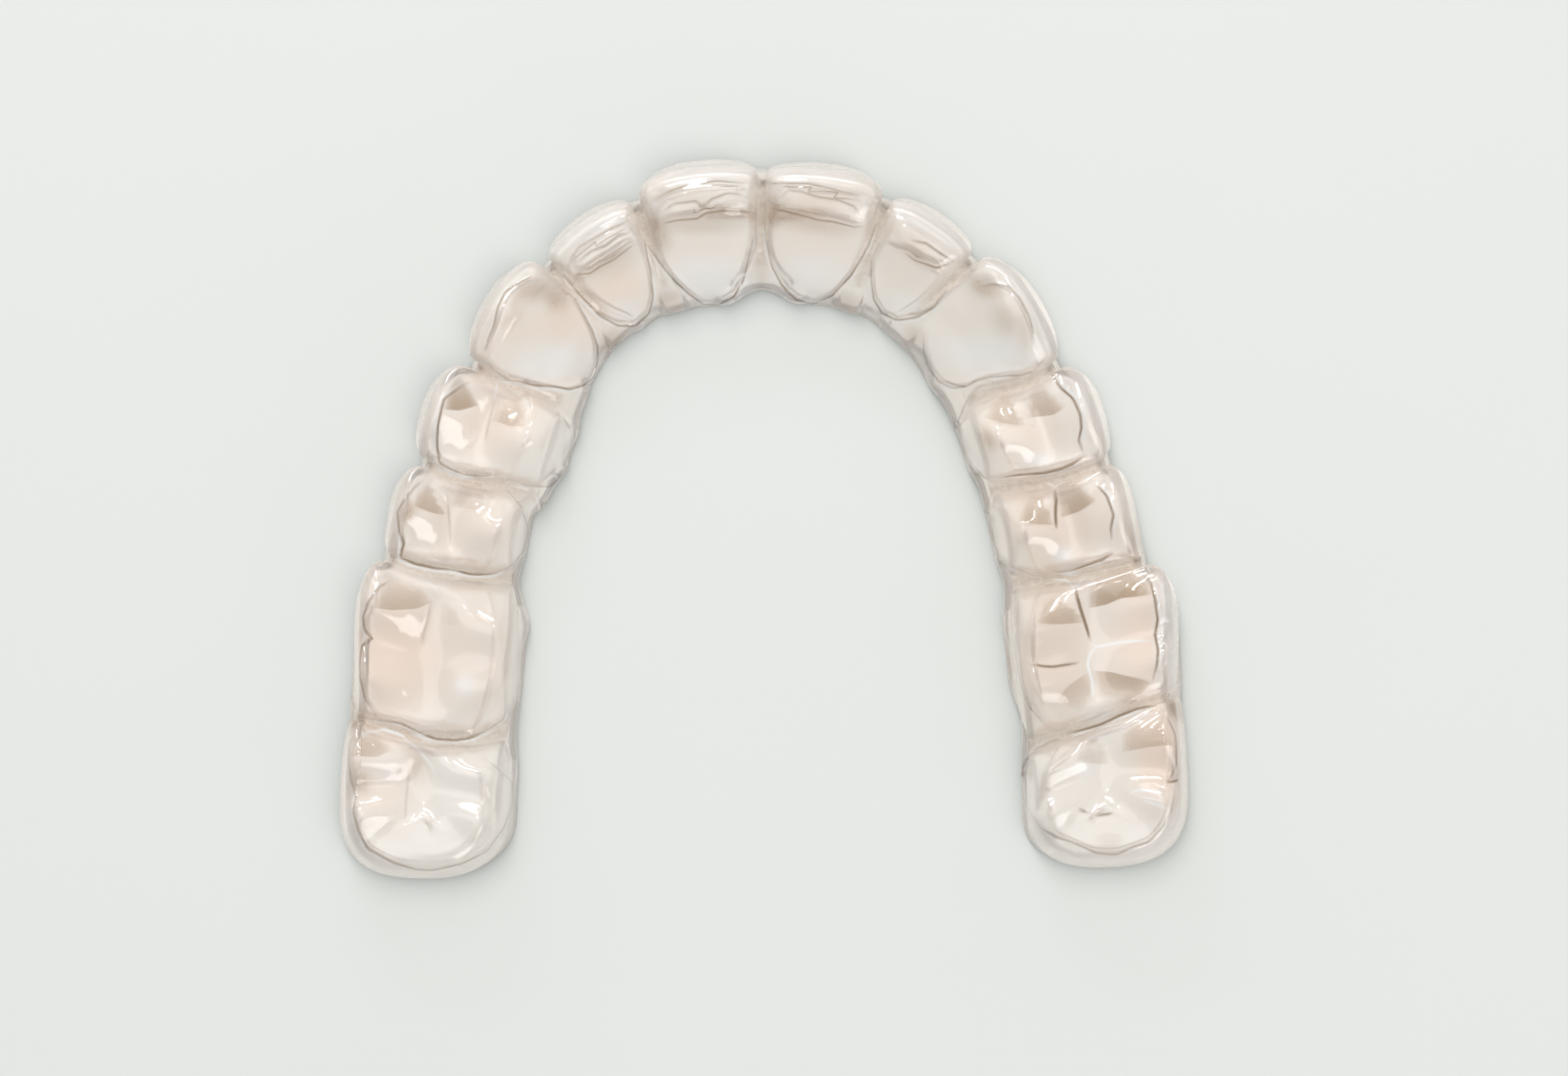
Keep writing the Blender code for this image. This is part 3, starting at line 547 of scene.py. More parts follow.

# %% [markdown]
# The fine lines of a formed shell come from the model. They are drawn here the way a technician pencils them
# on a plaster model, each as a strength and its points on the plan in millimetres. Besides their relief, the
# plastic shows them as thin beige lines of painted shade, for the light that the real sheet bends aside in its
# folds. The outline of each crown comes first. Outlines run so that the gum is on their right-hand side.

# %% Outlines of the crowns
OUTLINES = (
    # left central incisor, outline
    (1.0, (-8.5, 19.7), (-7.7, 18.7), (-6.5, 17.2), (-5.4, 16.2), (-4.4, 15.5), (-3.4, 15.4), (-2.2, 16.0),
     (-1.5, 17.2), (-0.9, 19.7), (-0.8, 20.4)),
    # right central incisor, outline
    (1.0, (0.1, 21.5), (0.2, 19.9), (0.6, 18.1), (1.3, 16.8), (2.3, 15.8), (3.5, 15.5), (4.9, 16.1),
     (6.3, 17.6), (7.4, 19.5), (8.1, 21.3)),
    # left lateral incisor, outline
    (0.9, (-14.4, 17.6), (-13.2, 16.0), (-11.8, 14.6), (-10.5, 13.9), (-9.3, 13.9), (-8.3, 14.8),
     (-8.0, 16.0), (-8.2, 17.8), (-8.7, 20.3)),
    # right lateral incisor, outline
    (0.9, (7.7, 18.7), (7.7, 17.2), (7.9, 15.8), (8.5, 14.8), (9.6, 14.3), (11.0, 14.5), (12.2, 15.2),
     (13.2, 16.5)),
    # left canine, outline
    (0.9, (-19.9, 11.3), (-19.3, 10.7), (-18.4, 10.0), (-17.5, 9.9), (-16.3, 9.6), (-15.1, 9.5),
     (-14.0, 9.3), (-13.0, 9.6), (-12.3, 10.3), (-12.0, 11.4), (-12.0, 12.4), (-12.4, 13.6), (-13.1, 14.9),
     (-13.6, 15.8), (-14.3, 16.4)),
    # right canine, outline
    (0.7, (11.5, 13.4), (11.5, 12.0), (11.9, 10.8), (12.6, 9.9), (13.6, 9.4), (14.7, 9.6), (15.2, 9.9),
     (16.3, 10.2), (17.5, 10.3), (18.4, 10.3), (19.2, 10.6), (20.1, 11.5)),
    # left canine, cheek
    (0.9, (-16.5, 17.4), (-17.6, 16.8), (-18.5, 16.2), (-19.0, 15.1), (-19.3, 13.8), (-19.7, 12.9),
     (-19.9, 12.2)),
    # right canine, cheek
    (0.7, (19.2, 12.1), (19.3, 12.7), (19.2, 13.5), (18.9, 14.5), (18.3, 15.7), (17.5, 16.6), (16.5, 16.8),
     (15.4, 16.6)),
    # left first premolar, cheek
    (0.9, (-21.0, 9.9), (-21.9, 9.3), (-22.9, 8.6), (-23.1, 7.8), (-23.3, 6.8), (-23.4, 5.8), (-23.4, 5.0),
     (-23.2, 4.0), (-22.5, 3.6), (-21.4, 3.2), (-20.3, 3.1), (-18.7, 3.3)),
    # left first premolar, palate
    (0.5, (-18.6, 3.0), (-17.0, 2.4), (-15.5, 2.3), (-14.4, 3.2), (-13.7, 5.0), (-13.7, 6.5), (-14.7, 7.3)),
    # left second premolar, cheek
    (1.0, (-24.1, 3.0), (-25.1, 2.2), (-25.7, 1.4), (-26.2, 0.5), (-26.1, -0.8), (-25.8, -1.8),
     (-26.1, -2.7), (-25.0, -3.2), (-23.6, -3.5), (-22.3, -3.6), (-20.9, -4.0), (-19.4, -3.9),
     (-18.1, -3.3), (-17.3, -2.2), (-17.0, -0.8), (-17.5, 0.9), (-18.6, 2.2)),
    # left first molar, cheek
    (0.9, (-26.6, -4.3), (-27.6, -4.9), (-28.3, -6.0), (-28.7, -7.0), (-28.6, -7.9), (-28.1, -8.6),
     (-28.8, -9.1), (-28.9, -10.2), (-28.9, -11.3), (-28.6, -12.8), (-27.8, -14.1)),
    # left first molar, distal
    (0.9, (-28.8, -14.2), (-27.4, -14.4), (-26.0, -14.6), (-24.9, -15.2), (-23.5, -15.8), (-22.1, -15.9),
     (-21.0, -15.7), (-19.9, -15.1), (-18.8, -14.4), (-18.0, -12.7)),
    # left second molar, table
    (0.8, (-29.2, -15.3), (-29.7, -16.2), (-29.7, -17.7), (-29.5, -18.9), (-29.2, -19.9), (-29.4, -20.9),
     (-29.0, -22.4), (-28.4, -23.6), (-26.6, -24.6), (-24.6, -25.2), (-23.5, -25.1), (-21.7, -24.7),
     (-19.9, -23.8), (-18.7, -22.1), (-18.1, -20.4), (-18.2, -18.8), (-19.4, -17.7), (-20.2, -17.0)),
    # right first premolar, palate
    (0.5, (16.1, 9.8), (15.1, 9.3), (14.4, 8.1), (14.0, 7.0), (14.1, 5.8), (14.5, 4.2), (15.6, 3.0),
     (17.0, 3.0)),
    # right first premolar, distal
    (1.6, (17.0, 3.0), (18.4, 3.2), (20.1, 3.3), (21.3, 3.6), (22.2, 4.0), (22.9, 4.5)),
    # right first premolar, cheek
    (1.0, (22.9, 4.6), (22.5, 5.6), (22.7, 6.5), (22.6, 7.5), (22.1, 8.6), (21.2, 9.4), (20.5, 10.5)),
    # right second premolar, palate
    (0.5, (16.7, 0.7), (16.2, -0.1), (16.3, -1.2), (16.9, -2.5), (17.8, -3.4), (19.2, -4.0), (20.3, -4.1)),
    # right second premolar, distal
    (1.4, (20.9, -3.8), (22.0, -3.7), (23.1, -3.3), (24.2, -2.9), (25.0, -2.4)),
    # right second premolar, cheek
    (0.9, (24.9, -1.6), (24.8, -0.7), (25.0, 0.3), (24.5, 1.7), (23.7, 2.5)),
    # right first molar, palate
    (0.5, (18.3, -5.8), (18.1, -7.9), (18.1, -9.9), (18.5, -12.0), (19.0, -13.4), (20.3, -14.9)),
    # right first molar, distal
    (1.3, (21.8, -15.4), (22.7, -15.2), (24.1, -14.8), (25.5, -14.1), (26.8, -13.6), (28.2, -13.4)),
    # right first molar, cheek
    (1.0, (27.8, -11.7), (28.1, -10.6), (28.2, -9.4), (28.0, -8.3), (28.2, -7.2), (28.0, -5.8),
     (27.7, -4.5), (27.0, -3.7)),
    # right second molar, table
    (0.7, (21.8, -15.9), (20.8, -15.9), (19.7, -16.5), (18.7, -17.5), (18.5, -18.9), (18.9, -20.7),
     (19.8, -22.1), (21.0, -22.8), (22.0, -23.1), (22.9, -23.5), (24.0, -24.0), (25.3, -24.0),
     (26.4, -23.5), (27.6, -23.1), (28.5, -22.1), (29.1, -21.0), (29.4, -19.6), (29.0, -18.9)),
    # right second molar, cheek
    (0.8, (29.0, -18.9), (29.5, -17.7), (29.5, -16.5), (29.4, -15.4), (28.8, -14.1)),
)
print("outlines:", len(OUTLINES))

# %% [markdown]
# The model's finest marks are pressed in as grooves, and painted as thin beige lines of shade as well: the
# edges of the incisors with their waves, the folds below them, and the fissures between the cusps of the back
# teeth.

# %% Edges and fissures
GROOVES = (
    # left central incisor, edge
    (0.9, (-1.0, 24.0), (-3.4, 24.2), (-4.6, 24.0), (-6.1, 23.7), (-7.3, 23.2), (-8.1, 22.5)),
    # right central incisor, edge
    (0.9, (7.2, 23.1), (5.5, 23.4), (4.5, 23.7), (3.1, 24.0), (1.7, 24.0), (0.2, 24.0)),
    # left central incisor, wave
    (0.6, (-1.0, 22.8), (-1.6, 23.2), (-2.6, 23.3), (-3.8, 22.8), (-4.4, 22.1), (-4.8, 22.7), (-6.5, 22.5),
     (-7.3, 21.9)),
    # right central incisor, wave
    (0.6, (7.0, 21.5), (6.5, 22.3), (5.3, 22.8), (3.9, 23.0), (2.7, 23.4), (1.7, 23.5), (0.9, 22.8)),
    # left central incisor, fold
    (1.2, (-0.8, 21.9), (-3.0, 22.0), (-4.2, 21.8), (-4.8, 21.4), (-6.1, 21.3), (-7.3, 21.1)),
    # right central incisor, fold
    (1.2, (7.2, 20.9), (6.5, 20.8), (4.9, 21.2), (3.9, 21.3), (2.5, 21.7), (1.3, 22.0), (0.0, 22.3)),
    # left lateral incisor, edge
    (0.8, (-9.5, 21.4), (-10.7, 20.9), (-11.8, 20.3), (-13.2, 19.5), (-13.8, 18.7), (-14.1, 17.8)),
    # left lateral incisor, wave
    (0.6, (-9.5, 20.5), (-10.3, 20.3), (-11.3, 19.5), (-12.4, 19.1), (-13.4, 18.3)),
    # left lateral incisor, fold
    (1.2, (-9.3, 19.6), (-10.7, 18.5), (-11.7, 18.0), (-12.4, 17.5), (-13.6, 17.4)),
    # right lateral incisor, edge
    (0.8, (13.7, 18.3), (12.6, 19.0), (11.6, 19.7), (10.5, 19.9)),
    # right lateral incisor, fold
    (1.2, (13.3, 18.2), (12.3, 17.9), (11.5, 18.2), (10.8, 18.4), (10.0, 19.0)),
    # right second premolar, fissure
    (1.6, (20.8, 2.2), (20.9, 1.3), (20.9, 0.3), (21.0, -0.7)),
    # right first molar, fissure
    (1.6, (22.3, -4.7), (22.4, -5.5), (22.8, -6.8), (23.2, -8.0), (23.4, -8.7)),
    # right first molar, palate branch
    (1.0, (19.0, -10.4), (20.6, -10.6), (22.6, -10.3)),
    # right second molar, nick
    (1.3, (28.9, -18.9), (29.8, -18.7)),
    # right second molar, marks
    (0.9, (22.6, -20.8), (23.2, -21.0)),
    # right second molar, marks
    (0.9, (23.7, -21.3), (25.0, -21.1)),
    # left first molar, fissure
    (0.3, (-23.8, -5.8), (-24.1, -7.4), (-24.6, -9.0), (-24.2, -9.1)),
    # left second premolar, fissure
    (0.3, (-22.7, 1.8), (-22.5, -0.4), (-22.5, -1.9)),
    # left first premolar, fissure
    (0.3, (-19.3, 8.5), (-19.8, 6.7), (-20.0, 5.6)),
    # left second molar, fissure
    (0.25, (-25.4, -17.7), (-25.6, -19.6), (-25.7, -21.6)),
)
print("grooves:", len(GROOVES))

# %% [markdown]
# Some lines are painted highlights instead: whitish strips where the real sheet catches the light, along
# the incisal edges and round the branches of the fissures. They have no relief, only colour.

# %% Painted highlight lines
PAINTED_HIGHLIGHT_LINES = (
    # right first molar, cheek branch
    (1.0, (27.8, -8.7), (25.6, -8.8), (23.7, -9.2), (23.4, -8.7)),
    # right first molar, centre
    (1.0, (23.7, -9.2), (23.3, -9.8), (23.2, -10.5), (23.5, -11.6), (23.6, -13.1)),
    # right second premolar, mesial
    (0.8, (20.1, 2.7), (20.8, 2.3), (21.6, 2.7)),
    # right first molar, mesial
    (0.9, (20.6, -4.4), (21.7, -4.4), (22.3, -5.0), (23.0, -4.1)),
    # right first molar, distal strip
    (0.8, (22.9, -15.7), (24.3, -15.7), (25.6, -15.0), (27.1, -14.2), (28.2, -13.8)),
    # left second molar, strip
    (1.0, (-29.2, -15.7), (-28.5, -15.3), (-27.2, -15.1), (-26.0, -15.5), (-24.9, -16.4), (-23.8, -17.7),
     (-23.6, -18.5)),
    # right second molar, highlights
    (1.0, (26.1, -19.7), (26.8, -19.4), (28.8, -19.6)),
    # right second molar, highlights
    (1.0, (27.0, -20.1), (28.2, -20.5), (29.0, -20.8)),
    # left central incisor, edge light
    (1.0, (-6.5, 24.2), (-4.6, 24.6), (-1.8, 24.7)),
    # right central incisor, edge light
    (1.0, (1.0, 24.5), (2.9, 24.5), (4.9, 24.1)),
    # left lateral incisor, edge light
    (0.9, (-12.6, 20.6), (-11.5, 21.3), (-10.1, 21.8)),
    # right lateral incisor, edge light
    (0.9, (8.8, 21.8), (10.2, 21.6), (11.8, 20.7)),
    # left first molar, mesial
    (0.6, (-24.4, -4.3), (-23.6, -4.9), (-23.2, -5.4)),
    # left first premolar, mesial
    (0.9, (-19.1, 9.8), (-19.3, 8.6)),
    # left first premolar, palatal crest
    (0.7, (-18.4, 9.5), (-17.5, 8.8), (-16.4, 7.9)),
)
print("bright lines:", len(PAINTED_HIGHLIGHT_LINES))

# %% [markdown]
# A crest marks where a cusp turns. The facet on its right-hand side gets painted shade, because one slope of
# a cusp looks darker than the other in the light.

# %% Crests of the cusps
CRESTS = (
    # right first molar, mesial cheek cusp
    (0.95, (27.8, -5.4), (26.6, -5.6), (25.6, -5.7), (24.5, -6.2), (23.1, -6.5)),
    # right first molar, mesial palate cusp
    (0.8, (23.0, -7.5), (20.9, -7.6), (19.4, -7.5)),
    # right first molar, distal cheek cusp
    (0.75, (23.4, -10.8), (24.8, -10.9), (25.9, -11.2), (27.9, -11.7)),
    # right first molar, distal palate cusp
    (0.6, (20.8, -13.1), (21.7, -12.0), (23.2, -10.9)),
    # right second premolar, palate cusp
    (0.75, (20.9, -0.5), (19.5, -0.4), (18.1, -0.2)),
    # right second premolar, cheek cusp
    (0.85, (23.8, 1.3), (22.6, 0.5), (21.2, 0.0)),
    # right first premolar, palate cusp
    (0.55, (18.6, 6.6), (17.2, 6.8), (15.8, 7.2)),
    # right first premolar, cheek cusp
    (0.65, (21.5, 7.9), (20.7, 7.4), (18.9, 7.2)),
    # left first premolar, cheek cusp
    (0.9, (-20.4, 8.1), (-21.7, 7.7), (-22.9, 7.8)),
    # left first premolar, palate cusp
    (0.5, (-17.0, 6.6), (-18.2, 6.6), (-19.4, 7.0)),
    # left second premolar, cheek cusp
    (0.75, (-22.8, 0.2), (-23.8, 0.4), (-25.3, 1.0)),
    # left second premolar, palate cusp
    (0.35, (-20.0, 0.5), (-21.2, 0.7), (-22.5, 0.9)),
    # left first molar, mesial cheek cusp
    (0.7, (-23.6, -6.0), (-24.9, -6.5), (-26.6, -6.6), (-28.1, -6.4)),
    # left first molar, mesial palate cusp
    (0.25, (-21.5, -7.7), (-22.5, -7.7), (-23.4, -7.4)),
    # right second molar, mesial cheek cusp
    (0.6, (29.4, -16.2), (27.6, -16.4), (25.5, -16.8)),
    # right second molar, mesial palate cusp
    (0.4, (25.0, -17.7), (23.5, -17.6), (22.1, -17.5)),
    # right second molar, distal end
    (0.25, (23.4, -22.8), (24.6, -22.4), (26.0, -22.7)),
    # left second molar, mesial cheek cusp
    (0.6, (-26.6, -16.6), (-27.7, -17.1), (-29.7, -17.0)),
)
print("crests:", len(CRESTS))

# %% [markdown]
# Clear plastic doesn't look one even colour. Each zone of tint is an ellipse on the plan: strength, centre,
# half length and half width in millimetres, and turn in degrees. These zones are painted shade: the plastic
# looks darker where light is thrown aside on a steep facet, in a fold, or in the web between two teeth.

# %% Painted shade zones
Zone = namedtuple("Zone", "strength x y long wide turn")

PAINTED_SHADE_ZONES = (
    Zone(0.38, -4.6, 21.1, 3.7, 0.8, 0),  # left central incisor
    Zone(0.5, -7.6, 20.4, 0.8, 1.5, 20),  # left central incisor
    Zone(0.4, 3.3, 21.1, 3.5, 0.7, -8),  # right central incisor
    Zone(0.5, 0.6, 21.8, 0.7, 1.0, 0),  # right central incisor
    Zone(0.25, -10.5, 18.3, 2.2, 0.9, 30),  # left lateral incisor
    Zone(0.3, -4.6, 22.8, 3.7, 1.1, -8),  # left central incisor, edge band
    Zone(0.35, 3.5, 22.7, 3.7, 1.0, 8),  # right central incisor, edge band
    Zone(0.12, -11.5, 19.7, 2.6, 0.9, 32),  # left lateral incisor, edge band
    Zone(0.3, 10.4, 20.1, 2.4, 0.9, -30),  # right lateral incisor, edge band
    Zone(0.5, -28.8, -18.9, 0.6, 0.8, 0),  # left second molar, notch
    Zone(0.55, -16.6, 16.4, 1.4, 0.9, 20),  # left canine
    Zone(0.5, -2.2, 21.8, 1.7, 0.4, -5),  # left central incisor, fold
    Zone(0.45, 2.5, 21.7, 2.4, 0.4, 8),  # right central incisor, fold
    Zone(0.4, -11.8, 18.1, 2.4, 0.5, 30),  # left lateral incisor, fold
    Zone(0.4, 11.2, 18.5, 1.8, 0.5, -30),  # right lateral incisor, fold
    Zone(0.5, -14.7, 15.8, 0.9, 1.0, 0),  # left canine
    Zone(0.3, -18.0, 14.7, 0.7, 1.3, -20),  # left canine
    Zone(0.6, 15.8, 16.6, 1.3, 0.8, -20),  # right canine
    Zone(0.35, 17.5, 14.5, 1.4, 1.4, 0),  # right canine
    Zone(0.3, 18.6, 12.9, 0.5, 1.3, 0),  # right canine
    Zone(0.5, 15.9, 5.7, 0.6, 0.9, 20),  # right first premolar
    Zone(0.7, -25.5, 0.5, 0.5, 0.8, -30),  # left second premolar
    Zone(0.35, -24.9, -17.7, 0.8, 1.2, 0),  # left second molar
    Zone(0.1, -23.5, -20.4, 5.8, 5.5, 0),  # left second molar, dome
    Zone(0.14, 23.5, -19.4, 5.6, 5.0, 0),  # right second molar, dome
    Zone(0.16, -22.8, -9.4, 5.8, 5.5, 0),  # left first molar, dome
    Zone(0.26, 20.8, -9.3, 3.6, 5.8, 0),  # right first molar, dome
    Zone(0.16, 21.0, -0.5, 4.6, 3.2, 0),  # right second premolar, dome
    Zone(0.1, -22.0, -0.4, 4.3, 3.3, 0),  # left second premolar, dome
    Zone(1.0, -29.7, -14.1, 0.7, 1.0, 0),  # web between the left molars
    Zone(0.9, 29.7, -13.6, 0.6, 1.2, 25),  # web between the right molars
    Zone(0.6, 27.0, -1.4, 0.6, 1.2, 20),  # web before the right first molar
    Zone(0.5, -6.7, 15.7, 1.1, 0.8, 0),  # gum between the left incisors
    Zone(0.35, -0.2, 17.6, 0.6, 1.2, 0),  # gum between the central incisors
    Zone(0.35, 5.7, 15.6, 1.4, 0.7, -20),  # gum between the right incisors
    Zone(0.45, -10.9, 12.5, 1.2, 0.9, 40),  # gum beside the left canine
    Zone(0.35, 10.7, 13.1, 0.7, 0.8, 0),  # gum beside the right canine
)
print("dark zones:", len(PAINTED_SHADE_ZONES))

# %% [markdown]
# It looks pinker over the cheek side of the molars and over the crowns of the left side.

# %% Warm zones
WARM_ZONES = (
    Zone(0.8, -26.7, -9.6, 3.4, 5.5, 0),  # left first molar
    Zone(0.6, -27.7, -17.7, 3.0, 4.4, 0),  # left second molar
    Zone(0.6, -9.7, 16.0, 1.8, 2.2, 0),  # left lateral incisor
    Zone(0.4, -4.6, 18.5, 3.3, 2.6, 0),  # left central incisor
    Zone(0.6, -17.0, 12.0, 4.1, 4.1, 0),  # left canine
    Zone(0.6, -19.9, 6.7, 3.8, 3.3, 0),  # left first premolar
    Zone(0.75, 27.0, -8.6, 2.5, 5.5, 0),  # right first molar
    Zone(0.9, 28.5, -16.8, 2.3, 3.8, 0),  # right second molar
    Zone(0.45, 3.5, 19.5, 3.7, 4.1, 0),  # right central incisor
    Zone(0.35, 10.0, 17.6, 2.4, 3.0, 0),  # right lateral incisor
    Zone(0.25, 15.2, 13.1, 3.8, 3.8, 0),  # right canine
    Zone(0.5, 18.6, 6.4, 4.4, 3.7, 0),  # right first premolar
    Zone(0.5, 21.4, -0.3, 5.3, 3.6, 0),  # right second premolar
    Zone(0.45, -22.0, -0.4, 5.0, 3.4, 0),  # left second premolar
    Zone(0.5, 20.8, -9.3, 3.6, 5.8, 0),  # right first molar, palate side
    Zone(0.4, -21.1, -9.6, 3.9, 5.5, 0),  # left first molar, palate side
    Zone(0.6, -12.4, 15.2, 3.9, 2.4, 40),  # left canine and lateral incisor
)
print("warm zones:", len(WARM_ZONES))

# %% [markdown]
# It looks whitish where a smooth dome or a low, smooth slope catches the light.

# %% Pale zones
PALE_ZONES = (
    Zone(0.65, -4.0, 17.2, 3.0, 1.8, -5),  # left central incisor
    Zone(0.6, 3.3, 17.2, 3.0, 1.8, 5),  # right central incisor
    Zone(0.5, -9.9, 14.8, 1.7, 1.0, 20),  # left lateral incisor
    Zone(0.5, 10.0, 15.4, 1.7, 0.9, -15),  # right lateral incisor
    Zone(0.6, -15.7, 11.0, 3.0, 1.4, 10),  # left canine, low
    Zone(0.6, 15.2, 11.5, 3.0, 1.3, -10),  # right canine, low
    Zone(0.6, 28.9, -8.0, 0.8, 4.6, 0),  # right first molar, cheek wall
    Zone(0.5, 30.4, -16.8, 0.6, 2.7, 0),  # right second molar, cheek wall
    Zone(0.6, 19.8, 4.2, 1.3, 0.5, 0),  # right first premolar
    Zone(0.6, 21.4, -2.7, 0.7, 0.7, 0),  # right second premolar
    Zone(0.6, 23.9, -14.0, 0.8, 0.6, 0),  # right first molar
    Zone(0.5, -21.5, -12.0, 0.8, 0.9, 0),  # left first molar
    Zone(0.4, 16.1, 12.2, 3.0, 1.0, -10),  # right canine
    Zone(0.4, -15.2, 11.5, 2.9, 1.4, 0),  # left canine
    Zone(0.4, -27.0, -17.8, 1.5, 1.2, 0),  # left second molar
    Zone(0.5, 22.8, -17.9, 0.7, 0.5, 0),  # right second molar
)
print("pale zones:", len(PALE_ZONES))

# %% [markdown]
# A drawn line is stored on the points as a distance with a side, negative on one side and positive on the
# other. The plastic works the line out from that, so it stays thin and crisp between the points of the mesh.
# A second number says how strong the line is, and fades away from it and towards its ends.

# %% Distances on the sheet
LINE_REACH = 0.6
LINE_FADE = 0.15
CREST_REACH = 3.0
CREST_FADE = 1.2
END_TAPER = 4.0
END_TAPER_POWER = 0.5


def line_lengths(points):
    """Distance along a line at each of its points, as a share of its whole length."""
    steps = np.hypot(*np.diff(np.array(points), axis=0).T)
    return np.append(0.0, np.cumsum(steps)) / steps.sum()


def line_marks(lines, reach=LINE_REACH, fade=LINE_FADE):
    """Signed distance in millimetres to the nearest line, and that line's strength, less near its ends."""
    nearest = np.full(plan_x.shape, np.inf)
    signed = np.zeros(plan_x.shape)
    strength = np.zeros(plan_x.shape)
    end_taper = np.zeros(plan_x.shape)
    for weight, *points in lines:
        lengths = line_lengths(points)
        for index, ((x0, y0), (x1, y1)) in enumerate(zip(points, points[1:])):
            step_x, step_y, away_x, away_y = x1 - x0, y1 - y0, plan_x - x0, plan_y - y0
            share = np.clip((away_x * step_x + away_y * step_y) / (step_x ** 2 + step_y ** 2), 0.0, 1.0)
            run = lengths[index] + share * (lengths[index + 1] - lengths[index])
            taper = np.clip(END_TAPER * np.minimum(run, 1 - run), 0.0, 1.0) ** END_TAPER_POWER
            gap = np.hypot(away_x - share * step_x, away_y - share * step_y)
            side = away_x * step_y - away_y * step_x
            closer = gap < nearest
            nearest = np.where(closer, gap, nearest)
            signed = np.where(closer, np.copysign(gap, side), signed)
            strength = np.where(closer, weight * taper, strength)
            end_taper = np.where(closer, taper, end_taper)
    return signed, strength * np.clip((reach * end_taper - nearest) / fade, 0.0, 1.0)


marks = {}
for name, lines in (("outline", OUTLINES), ("groove", GROOVES), ("bright", PAINTED_HIGHLIGHT_LINES)):
    marks[name + "_offset"], marks[name + "_strength"] = line_marks(lines)
marks["crest_offset"], marks["crest_strength"] = line_marks(CRESTS, CREST_REACH, CREST_FADE)
print("marks from lines:", sorted(marks))

# %% [markdown]
# A zone of tint is stored as one number. Zones that overlap add up like layers of thin film, so they never
# pass full strength. Two more numbers say how near a point is to the bottom of a crease, where the sheet
# crumples, and how far it is above the trimmed rim.

# %% Zones on the sheet
ZONE_EDGE = 1.4
CRUMPLE_REACH = 0.55
CRUMPLED_STATIONS = (4, 13)
ABOVE_RIM_ROWS = 3


def zone_marks(zones):
    """How much a point lies in any of the zones, from 0 to 1."""
    clear = np.ones(plan_x.shape)
    for zone in zones:
        turn = np.radians(zone.turn)
        away_x, away_y = plan_x - zone.x, plan_y - zone.y
        along = (away_x * np.cos(turn) + away_y * np.sin(turn)) / zone.long
        across = (away_y * np.cos(turn) - away_x * np.sin(turn)) / zone.wide
        clear *= 1 - zone.strength * np.exp(-(along ** 2 + across ** 2) ** ZONE_EDGE)
    return 1 - clear


def crease_nearness():
    """1 in the bottom of a crease, above the rims, and 0 away from it."""
    near = np.zeros((columns, rows))
    for length, stations in creases:
        line = np.interp(np.arange(rows) / ROWS_PER_STATION, np.arange(STATIONS), length)
        near = np.maximum(near, np.exp(-((loft[:, :, 0] - line[None]) / CRUMPLE_REACH) ** 2))
    first, last = CRUMPLED_STATIONS
    near[:, :first * ROWS_PER_STATION] = 0.0
    near[:, last * ROWS_PER_STATION:] = 0.0
    return near


marks["dark"] = zone_marks(PAINTED_SHADE_ZONES)
marks["warm"] = zone_marks(WARM_ZONES)
marks["pale"] = zone_marks(PALE_ZONES)
marks["crumple"] = crease_nearness()
rows_from_rim = np.minimum(np.arange(rows), np.arange(rows)[::-1])
above_rim = np.tile(np.clip(rows_from_rim / ABOVE_RIM_ROWS, 0.0, 1.0), (columns, 1))
print("all marks:", sorted(marks))

# %% [markdown]
# The laid-out sheet becomes a grid mesh that carries the marks. At the two free ends the rows of the cheek
# side and of the palate side meet, so they share their points there.

# %% The flat sheet as a mesh
def point_numbers():
    """A number for every place in the grid. The two halves of an end column have the same numbers."""
    table = np.arange(columns * rows).reshape(columns, rows)
    for end in (0, columns - 1):
        table[end, rows // 2 + 1:] = table[end, rows // 2 - 1::-1]
    return table


def sheet_mesh():
    """The grid mesh, with its marks stored on its points."""
    used, compact = np.unique(point_numbers(), return_inverse=True)
    compact = compact.reshape(columns, rows)
    faces = []
    for column in range(columns - 1):
        for row in range(rows - 1):
            corners = [compact[column, row], compact[column + 1, row]]
            corners += [compact[column + 1, row + 1], compact[column, row + 1]]
            corners = list(dict.fromkeys(int(corner) for corner in corners))
            faces.append(corners[::-1])
    mesh = bpy.data.meshes.new("flat_sheet")
    mesh.from_pydata(loft.reshape(-1, 3)[used] * MM, [], faces)
    for name, values in {**marks, "above_rim": above_rim}.items():
        stored = values.reshape(-1)[used].astype(np.float32)
        mesh.attributes.new(name, "FLOAT", "POINT").data.foreach_set("value", stored)
    return mesh


def put_in_scene(name, data):
    """A new object with this data, at the origin of the part's frame."""
    thing = bpy.data.objects.new(name, data)
    bpy.context.scene.collection.objects.link(thing)
    return thing


flat_sheet = put_in_scene("clear_shell", sheet_mesh())
print("flat sheet:", len(flat_sheet.data.vertices), "points")

# %% [markdown]
# The node tree needs the arch and the drawn lines as objects it can measure. They are helpers only, and they
# are removed once the shell is formed.

# %% Helpers for the tree
def drawn_lines(name, lines):
    """A helper mesh that holds the lines as bare edges."""
    points, edges = [], []
    for _, *line in lines:
        edges += [(len(points) + step, len(points) + step + 1) for step in range(len(line) - 1)]
        points += [(x * MM, y * MM, 0.0) for x, y in line]
    mesh = bpy.data.meshes.new(name)
    mesh.from_pydata(points, edges, [])
    return mesh


